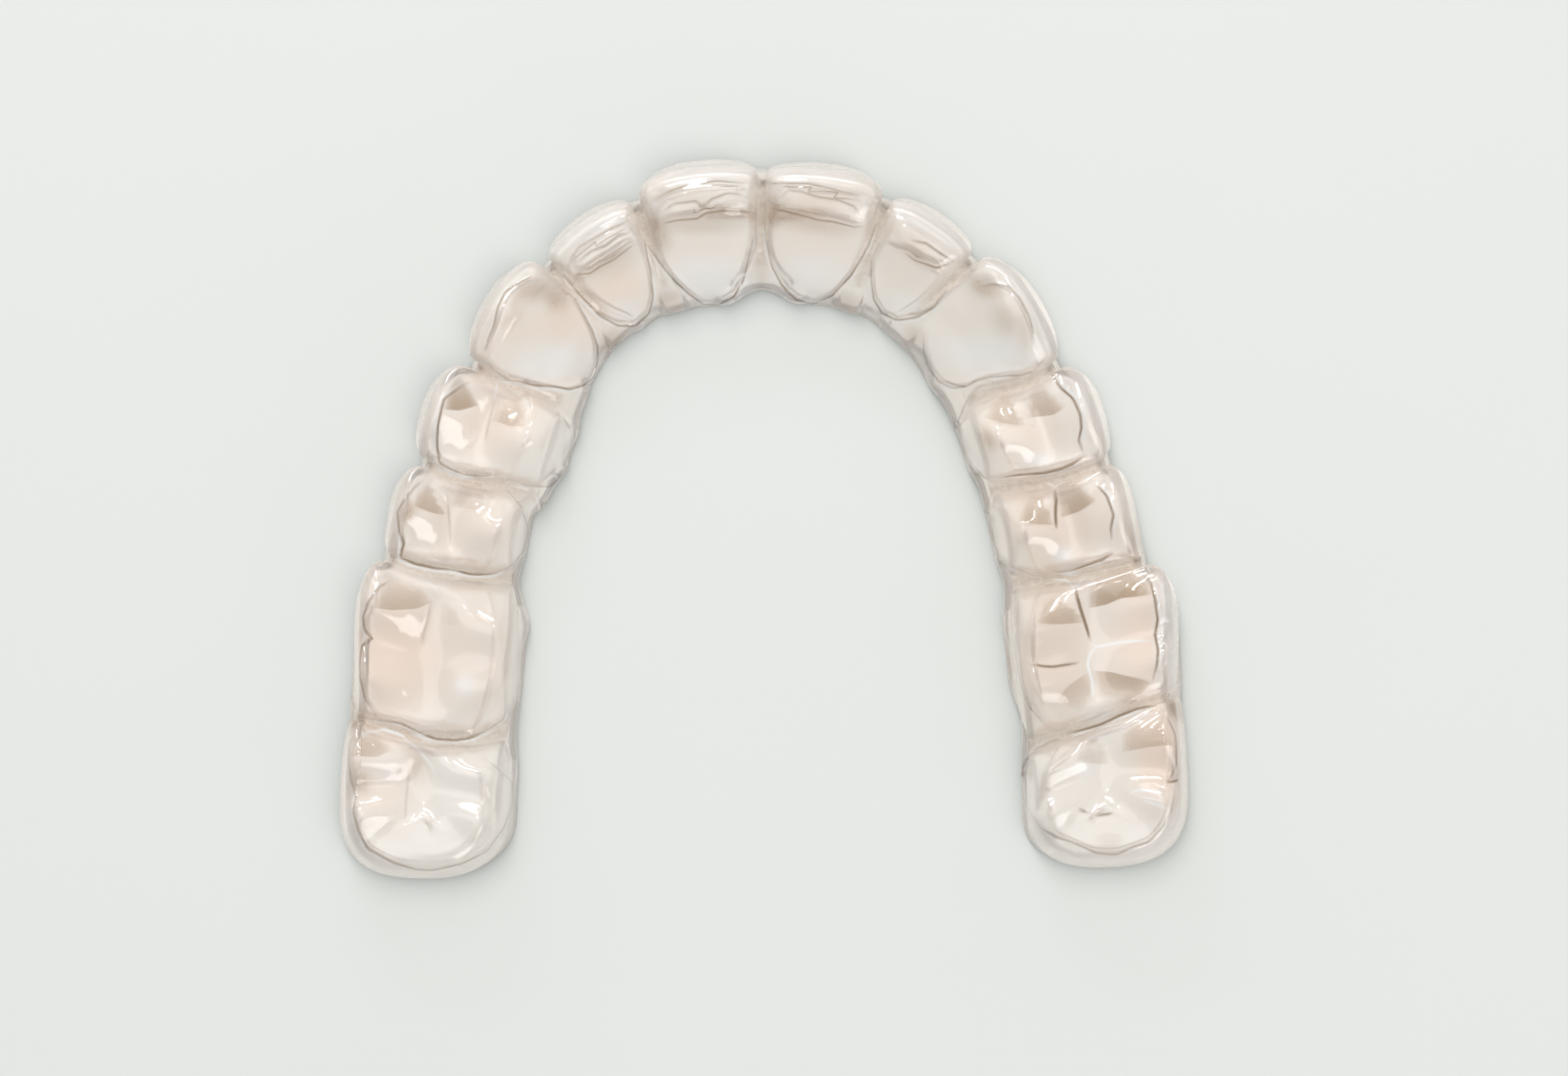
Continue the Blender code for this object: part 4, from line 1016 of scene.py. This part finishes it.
def arch_curve():
    """A helper curve along the whole arch, in the part's frame."""
    curve = bpy.data.curves.new("arch_line", "CURVE")
    curve.dimensions = "3D"
    spline = curve.splines.new("POLY")
    spline.points.add(arch_x.size - 1)
    for point, x, y in zip(spline.points, arch_x, arch_y):
        point.co = ((x + shift_x) * MM, (y + shift_y) * MM, 0.0, 1.0)
    return curve


helpers = {
    "Arch line": put_in_scene("arch_line", arch_curve()),
    "Outline lines": put_in_scene("outline_lines", drawn_lines("outline_lines", OUTLINES)),
    "Groove lines": put_in_scene("groove_lines", drawn_lines("groove_lines", GROOVES)),
}
print("helpers:", list(helpers))

# %% [markdown]
# The forming tree, the materials and the world are all built from nodes, and one small function adds every
# one of them. Inputs are given in their order or by name. Each may be a value, an output of a node, or a
# node, whose first output is meant.

# %% Adding a node
MATHS = "ShaderNodeMath"
VECTOR_MATHS = "ShaderNodeVectorMath"
SEPARATE = "ShaderNodeSeparateXYZ"
COMBINE = "ShaderNodeCombineXYZ"
NOISE = "ShaderNodeTexNoise"
POSITION = "GeometryNodeInputPosition"
SET_POSITION = "GeometryNodeSetPosition"


def add_node(tree, kind, *inputs, links=None, **settings):
    """Adds a node with its settings. Its inputs come in order, or in links by name or number."""
    node = tree.nodes.new(kind)
    for name, value in settings.items():
        setattr(node, name, value)
    for name, value in [*enumerate(inputs), *(links or {}).items()]:
        if isinstance(value, bpy.types.Node):
            value = value.outputs[0]
        if isinstance(value, bpy.types.NodeSocket):
            tree.links.new(value, node.inputs[name])
        else:
            node.inputs[name].default_value = value
    return node


def bell(tree, distance, width):
    """1 where a distance is 0, falling to 0 on both sides over about this width."""
    add = partial(add_node, tree)
    square = add(MATHS, add(MATHS, distance, width, operation="DIVIDE"), 2.0, operation="POWER")
    return add(MATHS, add(MATHS, square, -1.0, operation="MULTIPLY"), operation="EXPONENT")


print("node helpers:", add_node.__name__, bell.__name__)

# %% [markdown]
# The forming tree does what the forming machine does, with every size as a named input. It bends the flat
# sheet round the arch, presses the drawn lines into it, crumples the narrow creases, and gives the sheet its
# thickness. Both patterns of unevenness are noise, whose scale is one over the real size of a ripple: about
# 2.4 mm for the faint ripple of the wall and 0.67 mm for the crumpled creases.

# %% Forming tree and its sizes
WALL = 0.75
RIPPLE_SIZE = 2.381 * MM
CRUMPLE_SIZE = 0.6667 * MM
SHEET_SIZES = {
    "Sheet thickness": WALL * MM,
    "Groove width": 0.28 * MM,
    "Groove depth": 0.18 * MM,
    "Outline width": 0.26 * MM,
    "Outline height": 0.14 * MM,
    "Outer share": 0.45,
    "Ripple height": 0.05 * MM,
    "Ripple scale": 1 / RIPPLE_SIZE,
    "Crumple height": 0.22 * MM,
    "Crumple scale": 1 / CRUMPLE_SIZE,
}


def empty_tree():
    """A new tree with its named inputs."""
    tree = bpy.data.node_groups.new("Form the sheet", "GeometryNodeTree")
    face = tree.interface
    face.new_socket("Geometry", in_out="INPUT", socket_type="NodeSocketGeometry")
    for name in helpers:
        face.new_socket(name, in_out="INPUT", socket_type="NodeSocketObject")
    for name, value in SHEET_SIZES.items():
        face.new_socket(name, in_out="INPUT", socket_type="NodeSocketFloat").default_value = value
    face.new_socket("Geometry", in_out="OUTPUT", socket_type="NodeSocketGeometry")
    return tree


tree = empty_tree()
add = partial(add_node, tree)
given = add("NodeGroupInput").outputs
print("inputs of the tree:", [socket.name for socket in given if socket.name])

# %% [markdown]
# The bend comes first. A point goes to its place along the arch line, out by its offset and up by its height.
# The arch line lies flat, so a quarter turn of its tangent points outwards.

# %% Bend round the arch
def bent_sheet():
    """The flat sheet, bent round the arch."""
    flat = add(SEPARATE, add(POSITION)).outputs
    arch = add("GeometryNodeObjectInfo", links={"Object": given["Arch line"]}).outputs["Geometry"]
    along = add(MATHS, flat["X"], half_arch_length * MM, operation="ADD")
    sample = add("GeometryNodeSampleCurve", links={"Curves": arch, "Length": along}, mode="LENGTH").outputs
    tangent = add(SEPARATE, sample["Tangent"]).outputs
    outwards = add(COMBINE, add(MATHS, tangent["Y"], -1.0, operation="MULTIPLY"), tangent["X"])
    sideways = add(VECTOR_MATHS, outwards, links={"Scale": flat["Y"]}, operation="SCALE")
    upwards = add(COMBINE, links={"Z": flat["Z"]})
    on_plan = add(VECTOR_MATHS, sample["Position"], sideways, operation="ADD")
    place = add(VECTOR_MATHS, on_plan, upwards, operation="ADD")
    return add(SET_POSITION, links={"Geometry": given["Geometry"], "Position": place})


bent = bent_sheet()
print("bent by:", bent.bl_label)

# %% [markdown]
# The press comes next. The height of the drawn lines is measured on the plan, and fades to nothing at the
# trimmed rim. The lines are stronger on the inner wall, which touched the teeth, than on the outer one, so
# the wall is thin in some places and thick in others. That draws the double lines in clear plastic.

# %% Press the lines
NOISE_DETAIL = 2.0
NOISE_MIDDLE = 0.5
RIPPLE_SEED = 1.0
CRUMPLE_SEED = 2.0
INNER_WAVE_SHARE = 0.5
ON_PLAN = (1.0, 1.0, 0.0)


def pressed(lines, width, height):
    """Height of the drawn lines over the sheet."""
    plan = add(VECTOR_MATHS, add(POSITION), ON_PLAN, operation="MULTIPLY")
    drawn = add("GeometryNodeObjectInfo", links={"Object": given[lines]}).outputs["Geometry"]
    links = {"Target": drawn, "Source Position": plan}
    near = add("GeometryNodeProximity", links=links, target_element="EDGES").outputs["Distance"]
    return add(MATHS, bell(tree, near, given[width]), given[height], operation="MULTIPLY")


def unevenness(name, seed):
    """Noise around zero, of the scale and height that the tree is given under this name."""
    links = {"Vector": add(POSITION), "W": seed, "Scale": given[name + " scale"], "Detail": NOISE_DETAIL}
    noise = add(NOISE, links=links, noise_dimensions="4D")
    centred = add(MATHS, noise, NOISE_MIDDLE, operation="SUBTRACT")
    return add(MATHS, centred, given[name + " height"], operation="MULTIPLY")


def rises():
    """How far the outer face and the inner face of the sheet are pushed out."""
    groove = pressed("Groove lines", "Groove width", "Groove depth")
    outline = pressed("Outline lines", "Outline width", "Outline height")
    lines = add(MATHS, add(MATHS, outline, groove, operation="SUBTRACT"), rim_fade, operation="MULTIPLY")
    crushed = add(MATHS, unevenness("Crumple", CRUMPLE_SEED), crumple, operation="MULTIPLY")
    uneven = add(MATHS, unevenness("Ripple", RIPPLE_SEED), crushed, operation="ADD")
    waves = add(MATHS, uneven, rim_fade, operation="MULTIPLY")
    outer_lines = add(MATHS, lines, given["Outer share"], operation="MULTIPLY")
    inner_waves = add(MATHS, waves, INNER_WAVE_SHARE, operation="MULTIPLY")
    outer = add(MATHS, outer_lines, waves, operation="ADD")
    return outer, add(MATHS, lines, inner_waves, operation="SUBTRACT")


crumple, rim_fade = (
    add("GeometryNodeInputNamedAttribute", links={"Name": name}, data_type="FLOAT")
    for name in ("crumple", "above_rim")
)
outer_rise, inner_rise = rises()
print("seeds:", RIPPLE_SEED, CRUMPLE_SEED)

# %% [markdown]
# The wall comes last. Both faces are set out from the bent sheet. The inner one follows a softened normal,
# because a hot sheet can't follow every sharp edge of the model, and near the rim it goes in level, so that
# the cut is level too. Nothing is left below the table. The tree ends in Realize Instances and Set Material.

# %% Give the sheet its wall
NORMAL_SOFTENING = 14
WELD_DISTANCE = 0.0005 * MM


def face_offsets():
    """Way from the bent sheet to its outer face and to its inner face."""
    normal = add("GeometryNodeInputNormal")
    links = {"Value": normal, "Iterations": NORMAL_SOFTENING}
    soft = add(SEPARATE, add("GeometryNodeBlurAttribute", links=links, data_type="FLOAT_VECTOR")).outputs
    level = add(MATHS, soft["Z"], rim_fade, operation="MULTIPLY")
    inwards = add(VECTOR_MATHS, add(COMBINE, soft["X"], soft["Y"], level), operation="NORMALIZE")
    depth = add(MATHS, inner_rise, given["Sheet thickness"], operation="SUBTRACT")
    to_outer = add(VECTOR_MATHS, normal, links={"Scale": outer_rise}, operation="SCALE")
    return to_outer, add(VECTOR_MATHS, inwards, links={"Scale": depth}, operation="SCALE")


def walled_sheet():
    """The bent sheet with both faces and the rim between them, as one closed skin."""
    kept = add("GeometryNodeCaptureAttribute", bent)
    for name, offset in zip(("outer", "inner"), face_offsets()):
        kept.capture_items.new("VECTOR", name)
        tree.links.new(offset.outputs[0], kept.inputs[name])
    outer = add(SET_POSITION, kept, links={"Offset": kept.outputs["outer"]})
    across = add(VECTOR_MATHS, kept.outputs["inner"], kept.outputs["outer"], operation="SUBTRACT")
    links = {"Mesh": outer, "Offset": across, "Offset Scale": 1.0, "Individual": False}
    lining = add("GeometryNodeExtrudeMesh", links=links, mode="FACES")
    joined = add("GeometryNodeJoinGeometry")
    for skin in (add("GeometryNodeFlipFaces", lining), outer):
        tree.links.new(skin.outputs[0], joined.inputs[0])
    return add("GeometryNodeMergeByDistance", links={"Geometry": joined, "Distance": WELD_DISTANCE})


def standing_sheet(sheet):
    """The sheet with no point below the table."""
    height = add(SEPARATE, add(POSITION)).outputs["Z"]
    below = add(MATHS, add(MATHS, height, -1.0, operation="MULTIPLY"), 0.0, operation="MAXIMUM")
    return add(SET_POSITION, links={"Geometry": sheet, "Offset": add(COMBINE, links={"Z": below})})


smooth = add("GeometryNodeSetShadeSmooth", standing_sheet(walled_sheet()))
dressed = add("GeometryNodeSetMaterial", add("GeometryNodeRealizeInstances", smooth))
add("NodeGroupOutput", dressed)
print("nodes in the tree:", len(tree.nodes))

# %% [markdown]
# Colours are written as sRGB hex codes, and one function turns them to linear. A finish starts from its
# ground colour, and each tint lies over it in its own strength. A Mix node has sockets for every kind of
# data, so its two colours and its mixed colour are named here by their numbers.

# %% Colours in layers
WHITE = "FFFFFF"
MIX_UNDER = 6
MIX_OVER = 7
MIX_RESULT = 2


def linear(code):
    """An sRGB hex code as a linear colour."""
    values = [int(code[place:place + 2], 16) / 255 for place in (0, 2, 4)]
    return [v / 12.92 if v <= 0.04045 else ((v + 0.055) / 1.055) ** 2.4 for v in values] + [1.0]


def layered(tree, ground, layers):
    """A ground colour with layers of tint over it, each with its strength from 0 to 1."""
    colour = linear(ground)
    for strength, tint in layers:
        links = {"Factor": strength, MIX_UNDER: colour, MIX_OVER: linear(tint)}
        colour = add_node(tree, "ShaderNodeMix", links=links, data_type="RGBA").outputs[MIX_RESULT]
    return colour


print("white, linear:", linear(WHITE))

# %% [markdown]
# The lines and facets are worked out from the distances that are stored on the points. On a steep wall a
# line drawn on the plan would smear, so it is made narrower there. A facet gets painted shade on one side of
# its crest, with a crisp edge at the crest, and fades away from it.

# %% Lines and facets in the plastic
LINE_WIDTH = 0.11
CREST_SHARPNESS = 0.08
FACET_WIDTH = 2.3


def line_tint(tree, stored, name, flatness, place=0.0, width=LINE_WIDTH):
    """A drawn line, or a band beside it, at the strength that is stored with it."""
    offset = add_node(tree, MATHS, stored[name + "_offset"], flatness, operation="DIVIDE")
    away = add_node(tree, MATHS, offset, place, operation="SUBTRACT")
    return add_node(tree, MATHS, bell(tree, away, width), stored[name + "_strength"], operation="MULTIPLY")


def shaded_facets(tree, stored):
    """Painted shade on the darker side of each crest, with a crisp edge at the crest."""
    crest = stored["crest_offset"]
    side = add_node(tree, MATHS, crest, CREST_SHARPNESS, operation="DIVIDE", use_clamp=True)
    facet = add_node(tree, MATHS, side, bell(tree, crest, FACET_WIDTH), operation="MULTIPLY")
    return add_node(tree, MATHS, facet, stored["crest_strength"], operation="MULTIPLY")


print("line width, mm:", LINE_WIDTH)

# %% [markdown]
# The plastic is a clear copolyester, thermoformed, so it is smooth and a little milky. The marks tint it in
# layers: a pinker cheek side with faint clouds about 11 mm across, painted shade in zones and on one side of
# each crest, specks of about 0.45 mm in the crumpled creases, painted highlights on whitish domes, along
# the highlight lines and beside the outlines, and thin beige lines of painted shade where a crown meets the
# gum and along the grooves.

# %% Tints of the plastic
CLEAR_NEUTRAL = "FFFCF8"
CLEAR_WARM = "FFEDE0"
# Beige of the painted shade in zones and on the crest facets, and of the specks in the crumpled creases.
SHADE_AND_SPECK_BEIGE = "C2AA92"
# Beige of the thin lines of painted shade along the outlines and the grooves.
LINE_SHADE_BEIGE = "9E8872"
STEEPEST = 0.3
# Place and width in millimetres, and strength, of the band of painted highlight beside each outline.
PALE_SIDE_PLACE = 0.27
PALE_SIDE_WIDTH = 0.15
PALE_SIDE_STRENGTH = 0.8
CLOUD_SIZE = 11.11 * MM
CLOUD_STRENGTH = 0.3
SPECK_SIZE = 0.4545 * MM
SPECK_STRENGTH = 0.8


def plastic_colour(tree, coordinates):
    """Colour of the plastic, in layers from the clear ground up to the thin lines."""
    add = partial(add_node, tree)
    stored = {name: add("ShaderNodeAttribute", attribute_name=name).outputs["Fac"] for name in marks}
    upwards = add(SEPARATE, coordinates["Normal"]).outputs["Z"]
    flatness = add(MATHS, add(MATHS, upwards, operation="ABSOLUTE"), STEEPEST, operation="MAXIMUM")
    outline, groove, bright = (
        line_tint(tree, stored, name, flatness) for name in ("outline", "groove", "bright")
    )
    # A band of painted highlight runs beside each outline.
    beside = line_tint(tree, stored, "outline", flatness, PALE_SIDE_PLACE, PALE_SIDE_WIDTH)
    highlight_band = add(MATHS, beside, PALE_SIDE_STRENGTH, operation="MULTIPLY")
    painted_light_lines = add(MATHS, bright, highlight_band, operation="MAXIMUM")
    clouds, specks = (
        add(NOISE, links={"Vector": coordinates["Object"], "Scale": 1 / size, "Detail": NOISE_DETAIL})
        for size in (CLOUD_SIZE, SPECK_SIZE)
    )
    warm = add(MATHS, clouds, CLOUD_STRENGTH, stored["warm"], operation="MULTIPLY_ADD")
    crumpled = add(MATHS, stored["crumple"], specks, operation="MULTIPLY")
    layers = (
        (warm, CLEAR_WARM),
        # Painted shade: the shade zones and one side of each crest.
        (add(MATHS, stored["dark"], shaded_facets(tree, stored), operation="MAXIMUM"), SHADE_AND_SPECK_BEIGE),
        (add(MATHS, crumpled, SPECK_STRENGTH, operation="MULTIPLY"), SHADE_AND_SPECK_BEIGE),
        # Painted highlights: the highlight lines, the bands beside the outlines and the pale zones.
        (add(MATHS, painted_light_lines, stored["pale"], operation="MAXIMUM"), WHITE),
        # Painted shade: thin beige lines along the outlines and the grooves.
        (add(MATHS, outline, groove, operation="MAXIMUM", use_clamp=True), LINE_SHADE_BEIGE),
    )
    return layered(tree, CLEAR_NEUTRAL, layers)


print("clear ground, linear:", [round(value, 3) for value in linear(CLEAR_NEUTRAL)[:3]])

# %% [markdown]
# Lamps get a simple stand-in for the plastic, and so does the light that the table sends up. It is clear
# where the sheet lies flat and darker near the rim and where it is seen edge on, because a curved wall throws
# light aside there. That gives the soft shadow next to the rim.

# %% Stand-in for the shadow
SHADOW_EDGE = "F9F9F7"
SHADOW_RIM = "6A706B"
RIM_SHADOW_HEIGHT = 1.4 * MM
EDGE_ON_BLEND = 0.35


def shadow_stand_in(tree, coordinates):
    """A tinted, see-through surface that casts the sheet's shadow."""
    add = partial(add_node, tree)
    edge_on = add("ShaderNodeLayerWeight", links={"Blend": EDGE_ON_BLEND}).outputs["Facing"]
    height = add(SEPARATE, coordinates["Object"]).outputs["Z"]
    above = add(MATHS, height, RIM_SHADOW_HEIGHT, operation="DIVIDE", use_clamp=True)
    near_rim = add(MATHS, 1.0, above, operation="SUBTRACT")
    tint = layered(tree, WHITE, ((edge_on, SHADOW_EDGE), (near_rim, SHADOW_RIM)))
    return add("ShaderNodeBsdfTransparent", tint)


print("height of the darker rim, mm:", round(RIM_SHADOW_HEIGHT / MM, 1))

# %% [markdown]
# The finish is nearly a polish, with a very fine unevenness left by the model, drawn as coarse as it needs to
# show, at 0.38 mm. Most of the light goes through and is bent in the walls, with an index of refraction of
# 1.53, typical of copolyester. A small part is scattered, which keeps the walls pale instead of glassy black.
# A weak warm sheen stands for the milky skin that lifts the steep walls to ivory, and a faint absorption
# inside the wall warms the places where light travels far.

# %% Clear copolyester
CLEARNESS = 0.7
POLISH = 0.05
COPOLYESTER_IOR = 1.53
SHEEN = 0.35
SHEEN_SPREAD = 0.35
SHEEN_TINT = "FFEFE2"
PATH_TINT = "C9A78C"
PATH_TINT_DENSITY = 22.0
SKIN_GRAIN = 0.3846 * MM
SKIN_DETAIL = 3.0
SKIN_HEIGHT = 0.05 * MM
SKIN_STRENGTH = 0.12


def clear_plastic():
    """The material of the whole shell."""
    material = bpy.data.materials.new("clear_copolyester_sheet")
    material.use_nodes = True
    tree = material.node_tree
    tree.nodes.clear()
    add = partial(add_node, tree)
    coordinates = add("ShaderNodeTexCoord").outputs
    place = coordinates["Object"]
    skin = add(NOISE, links={"Vector": place, "Scale": 1 / SKIN_GRAIN, "Detail": SKIN_DETAIL})
    bump = add("ShaderNodeBump", links={"Height": skin, "Strength": SKIN_STRENGTH, "Distance": SKIN_HEIGHT})
    finish = {
        "Base Color": plastic_colour(tree, coordinates),
        "Roughness": POLISH,
        "IOR": COPOLYESTER_IOR,
        "Transmission Weight": CLEARNESS,
        "Sheen Weight": SHEEN,
        "Sheen Roughness": SHEEN_SPREAD,
        "Sheen Tint": linear(SHEEN_TINT),
        "Normal": bump,
    }
    plastic = add("ShaderNodeBsdfPrincipled", links=finish)
    rays = add("ShaderNodeLightPath").outputs
    for_lamps = add(MATHS, rays["Is Shadow Ray"], rays["Is Diffuse Ray"], operation="MAXIMUM")
    surface = add("ShaderNodeMixShader", for_lamps, plastic, shadow_stand_in(tree, coordinates))
    links = {"Color": linear(PATH_TINT), "Density": PATH_TINT_DENSITY}
    inside = add("ShaderNodeVolumeAbsorption", links=links)
    add("ShaderNodeOutputMaterial", links={"Surface": surface, "Volume": inside})
    return material


plastic = clear_plastic()
dressed.inputs["Material"].default_value = plastic
print("material:", plastic.name)

# %% [markdown]
# With the tree and the plastic ready, the modifier is given its sizes and run once. The result is turned into
# a plain mesh, the helpers go with the modifier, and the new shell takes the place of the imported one. Every
# edge of a closed skin has two faces, so the count of other edges has to be nought.

# %% Form the shell
def formed_mesh():
    """The flat sheet after the forming tree, as a plain mesh."""
    former = flat_sheet.modifiers.new("form", "NODES")
    former.node_group = tree
    sockets = {item.name: item.identifier for item in tree.interface.items_tree if item.in_out == "INPUT"}
    for name, value in {**helpers, **SHEET_SIZES}.items():
        former[sockets[name]] = value
    graph = bpy.context.evaluated_depsgraph_get()
    return bpy.data.meshes.new_from_object(flat_sheet.evaluated_get(graph), depsgraph=graph)


def open_edges(mesh):
    """Number of edges without exactly two faces, and the volume that the mesh holds."""
    check = bmesh.new()
    check.from_mesh(mesh)
    found = sum(1 for edge in check.edges if len(edge.link_faces) != 2)
    volume = check.calc_volume(signed=True)
    check.free()
    return found, volume


formed = formed_mesh()
formed.name = "clear_shell"
shell = put_in_scene("clear_aligner_shell", formed)
for helper in (flat_sheet, *helpers.values()):
    bpy.data.objects.remove(helper, do_unlink=True)
formed.calc_loop_triangles()
loose, volume = open_edges(formed)
print("shell triangles:", len(formed.loop_triangles))
print("open edges:", loose, "volume, cubic mm:", round(volume / MM ** 3, 1))

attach(shell, "root")
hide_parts("aligner_shell")

# %% [markdown]
# The table is a pale board with a matt paint that has a trace of green and a very faint cloudiness, about
# 25 mm across. It keeps the soft shadow that shows how the shell stands on its rim. It lies a hair below the
# rim, so that the two never share a plane.

# %% Table
TABLE_COLOUR = "E9EBE8"
TABLE_CLOUD = "E7E9E5"
TABLE_CLOUD_SIZE = 25.0 * MM
TABLE_CLOUD_DETAIL = 4.0
TABLE_REACH = 3.0
TABLE_DROP = -0.02 * MM
MATT_ROUGHNESS = 0.9
MATT_SPECULAR = 0.1


def matt_paint():
    """The paint of the table."""
    material = bpy.data.materials.new("matt_painted_table")
    material.use_nodes = True
    tree = material.node_tree
    tree.nodes.clear()
    add = partial(add_node, tree)
    place = add("ShaderNodeTexCoord").outputs["Object"]
    cloud = add(NOISE, links={"Vector": place, "Scale": 1 / TABLE_CLOUD_SIZE, "Detail": TABLE_CLOUD_DETAIL})
    colour = layered(tree, TABLE_COLOUR, ((cloud, TABLE_CLOUD),))
    finish = {"Base Color": colour, "Roughness": MATT_ROUGHNESS, "Specular IOR Level": MATT_SPECULAR}
    add("ShaderNodeOutputMaterial", add("ShaderNodeBsdfPrincipled", links=finish))
    return material


board = bpy.data.meshes.new("pale_table")
corners = [(x * TABLE_REACH, y * TABLE_REACH, TABLE_DROP) for x, y in ((-1, -1), (1, -1), (1, 1), (-1, 1))]
board.from_pydata(corners, [], [(0, 1, 2, 3)])
board.materials.append(matt_paint())
put_in_scene("pale_table", board)
print("table, m:", 2 * TABLE_REACH)

# %% [markdown]
# The light is soft. A dim world fills the shadows. The camera, reflections and light bent in the plastic see
# a brighter, pale backdrop instead, so that the clear walls don't go grey.

# %% World
SKY_COLOUR = "FDFEFF"
WORLD_STRENGTH = 0.29
BACKDROP_STRENGTH = 0.78

world = bpy.data.worlds.new("studio")
bpy.context.scene.world = world
world.use_nodes = True
sky = world.node_tree.nodes["Background"]
sky.inputs["Color"].default_value = linear(SKY_COLOUR)
rays = add_node(world.node_tree, "ShaderNodeLightPath").outputs
seen = rays["Is Camera Ray"]
for kind_of_ray in ("Is Glossy Ray", "Is Transmission Ray"):
    seen = add_node(world.node_tree, MATHS, seen, rays[kind_of_ray], operation="MAXIMUM")
brighter = (seen, BACKDROP_STRENGTH - WORLD_STRENGTH, WORLD_STRENGTH)
strength = add_node(world.node_tree, MATHS, *brighter, operation="MULTIPLY_ADD")
world.node_tree.links.new(strength.outputs[0], sky.inputs["Strength"])
print("world:", WORLD_STRENGTH, "backdrop:", BACKDROP_STRENGTH)

# %% [markdown]
# Five lamps shape the plastic. The key stands low over the far side, a little to the left, and throws the
# soft shadow inside the arch. A large box overhead lights the table evenly. A low fill at the lower right
# lifts the walls that face right. A thin strip beyond the incisors draws the bright line on their edges, and
# a small lamp gives the short glints on the cusps. Places and sizes are in metres, power in watts.

# %% Lamps
SoftBox = namedtuple("SoftBox", "name place size power")
SOFT_BOXES = (
    SoftBox("key_softbox", (-0.16, 0.58, 0.36), (0.26, 0.075), 1.9),
    SoftBox("overhead_softbox", (-0.12, 0.16, 1.0), (1.1, 1.1), 3.9),
    SoftBox("fill_softbox", (0.44, -0.46, 0.34), (0.6, 0.3), 1.95),
    SoftBox("edge_strip", (-0.02, 0.6, 0.12), (0.5, 0.022), 0.6),
    SoftBox("spark_lamp", (-0.16, 0.5, 0.75), (0.08, 0.05), 0.7),
)

for box in SOFT_BOXES:
    panel = bpy.data.lights.new(box.name, "AREA")
    panel.shape = "RECTANGLE"
    panel.size, panel.size_y = box.size
    panel.energy = box.power
    lamp = put_in_scene(box.name, panel)
    lamp.location = box.place
    lamp.rotation_euler = (-lamp.location).to_track_quat("-Z", "Y").to_euler()
    lamp.visible_camera = False
print("lamps:", len(SOFT_BOXES))

# %% [markdown]
# The camera looks straight down from far away, so that the view is almost without perspective, as in the
# photograph. The picture is 1972 pixels wide and shows 17.5 of them to the millimetre, measured a little
# above the table, where most of the crowns' outlines are.

# %% Camera
PIXELS_PER_MM = 17.5
PICTURE_WIDTH, PICTURE_HEIGHT = 1972, 1353
CENTRE_PIXEL = (961.0, 652.5)
CAMERA_HEIGHT = 1.2
SCALE_HEIGHT = 3.0 * MM
SENSOR_WIDTH = 36.0
VIEW_END = 20.0

camera_data = bpy.data.cameras.new("camera")
camera_data.sensor_width = SENSOR_WIDTH
seen_width = PICTURE_WIDTH / PIXELS_PER_MM * MM
camera_data.lens = SENSOR_WIDTH * (CAMERA_HEIGHT - SCALE_HEIGHT) / seen_width
camera_data.clip_end = VIEW_END
camera = put_in_scene("camera", camera_data)
aim_x = (PICTURE_WIDTH / 2 - CENTRE_PIXEL[0]) / PIXELS_PER_MM * MM
aim_y = (CENTRE_PIXEL[1] - PICTURE_HEIGHT / 2) / PIXELS_PER_MM * MM
camera.location = (aim_x, aim_y, CAMERA_HEIGHT)
bpy.context.scene.camera = camera
bpy.context.scene.view_settings.view_transform = "Standard"
print("lens, mm:", round(camera_data.lens, 1))
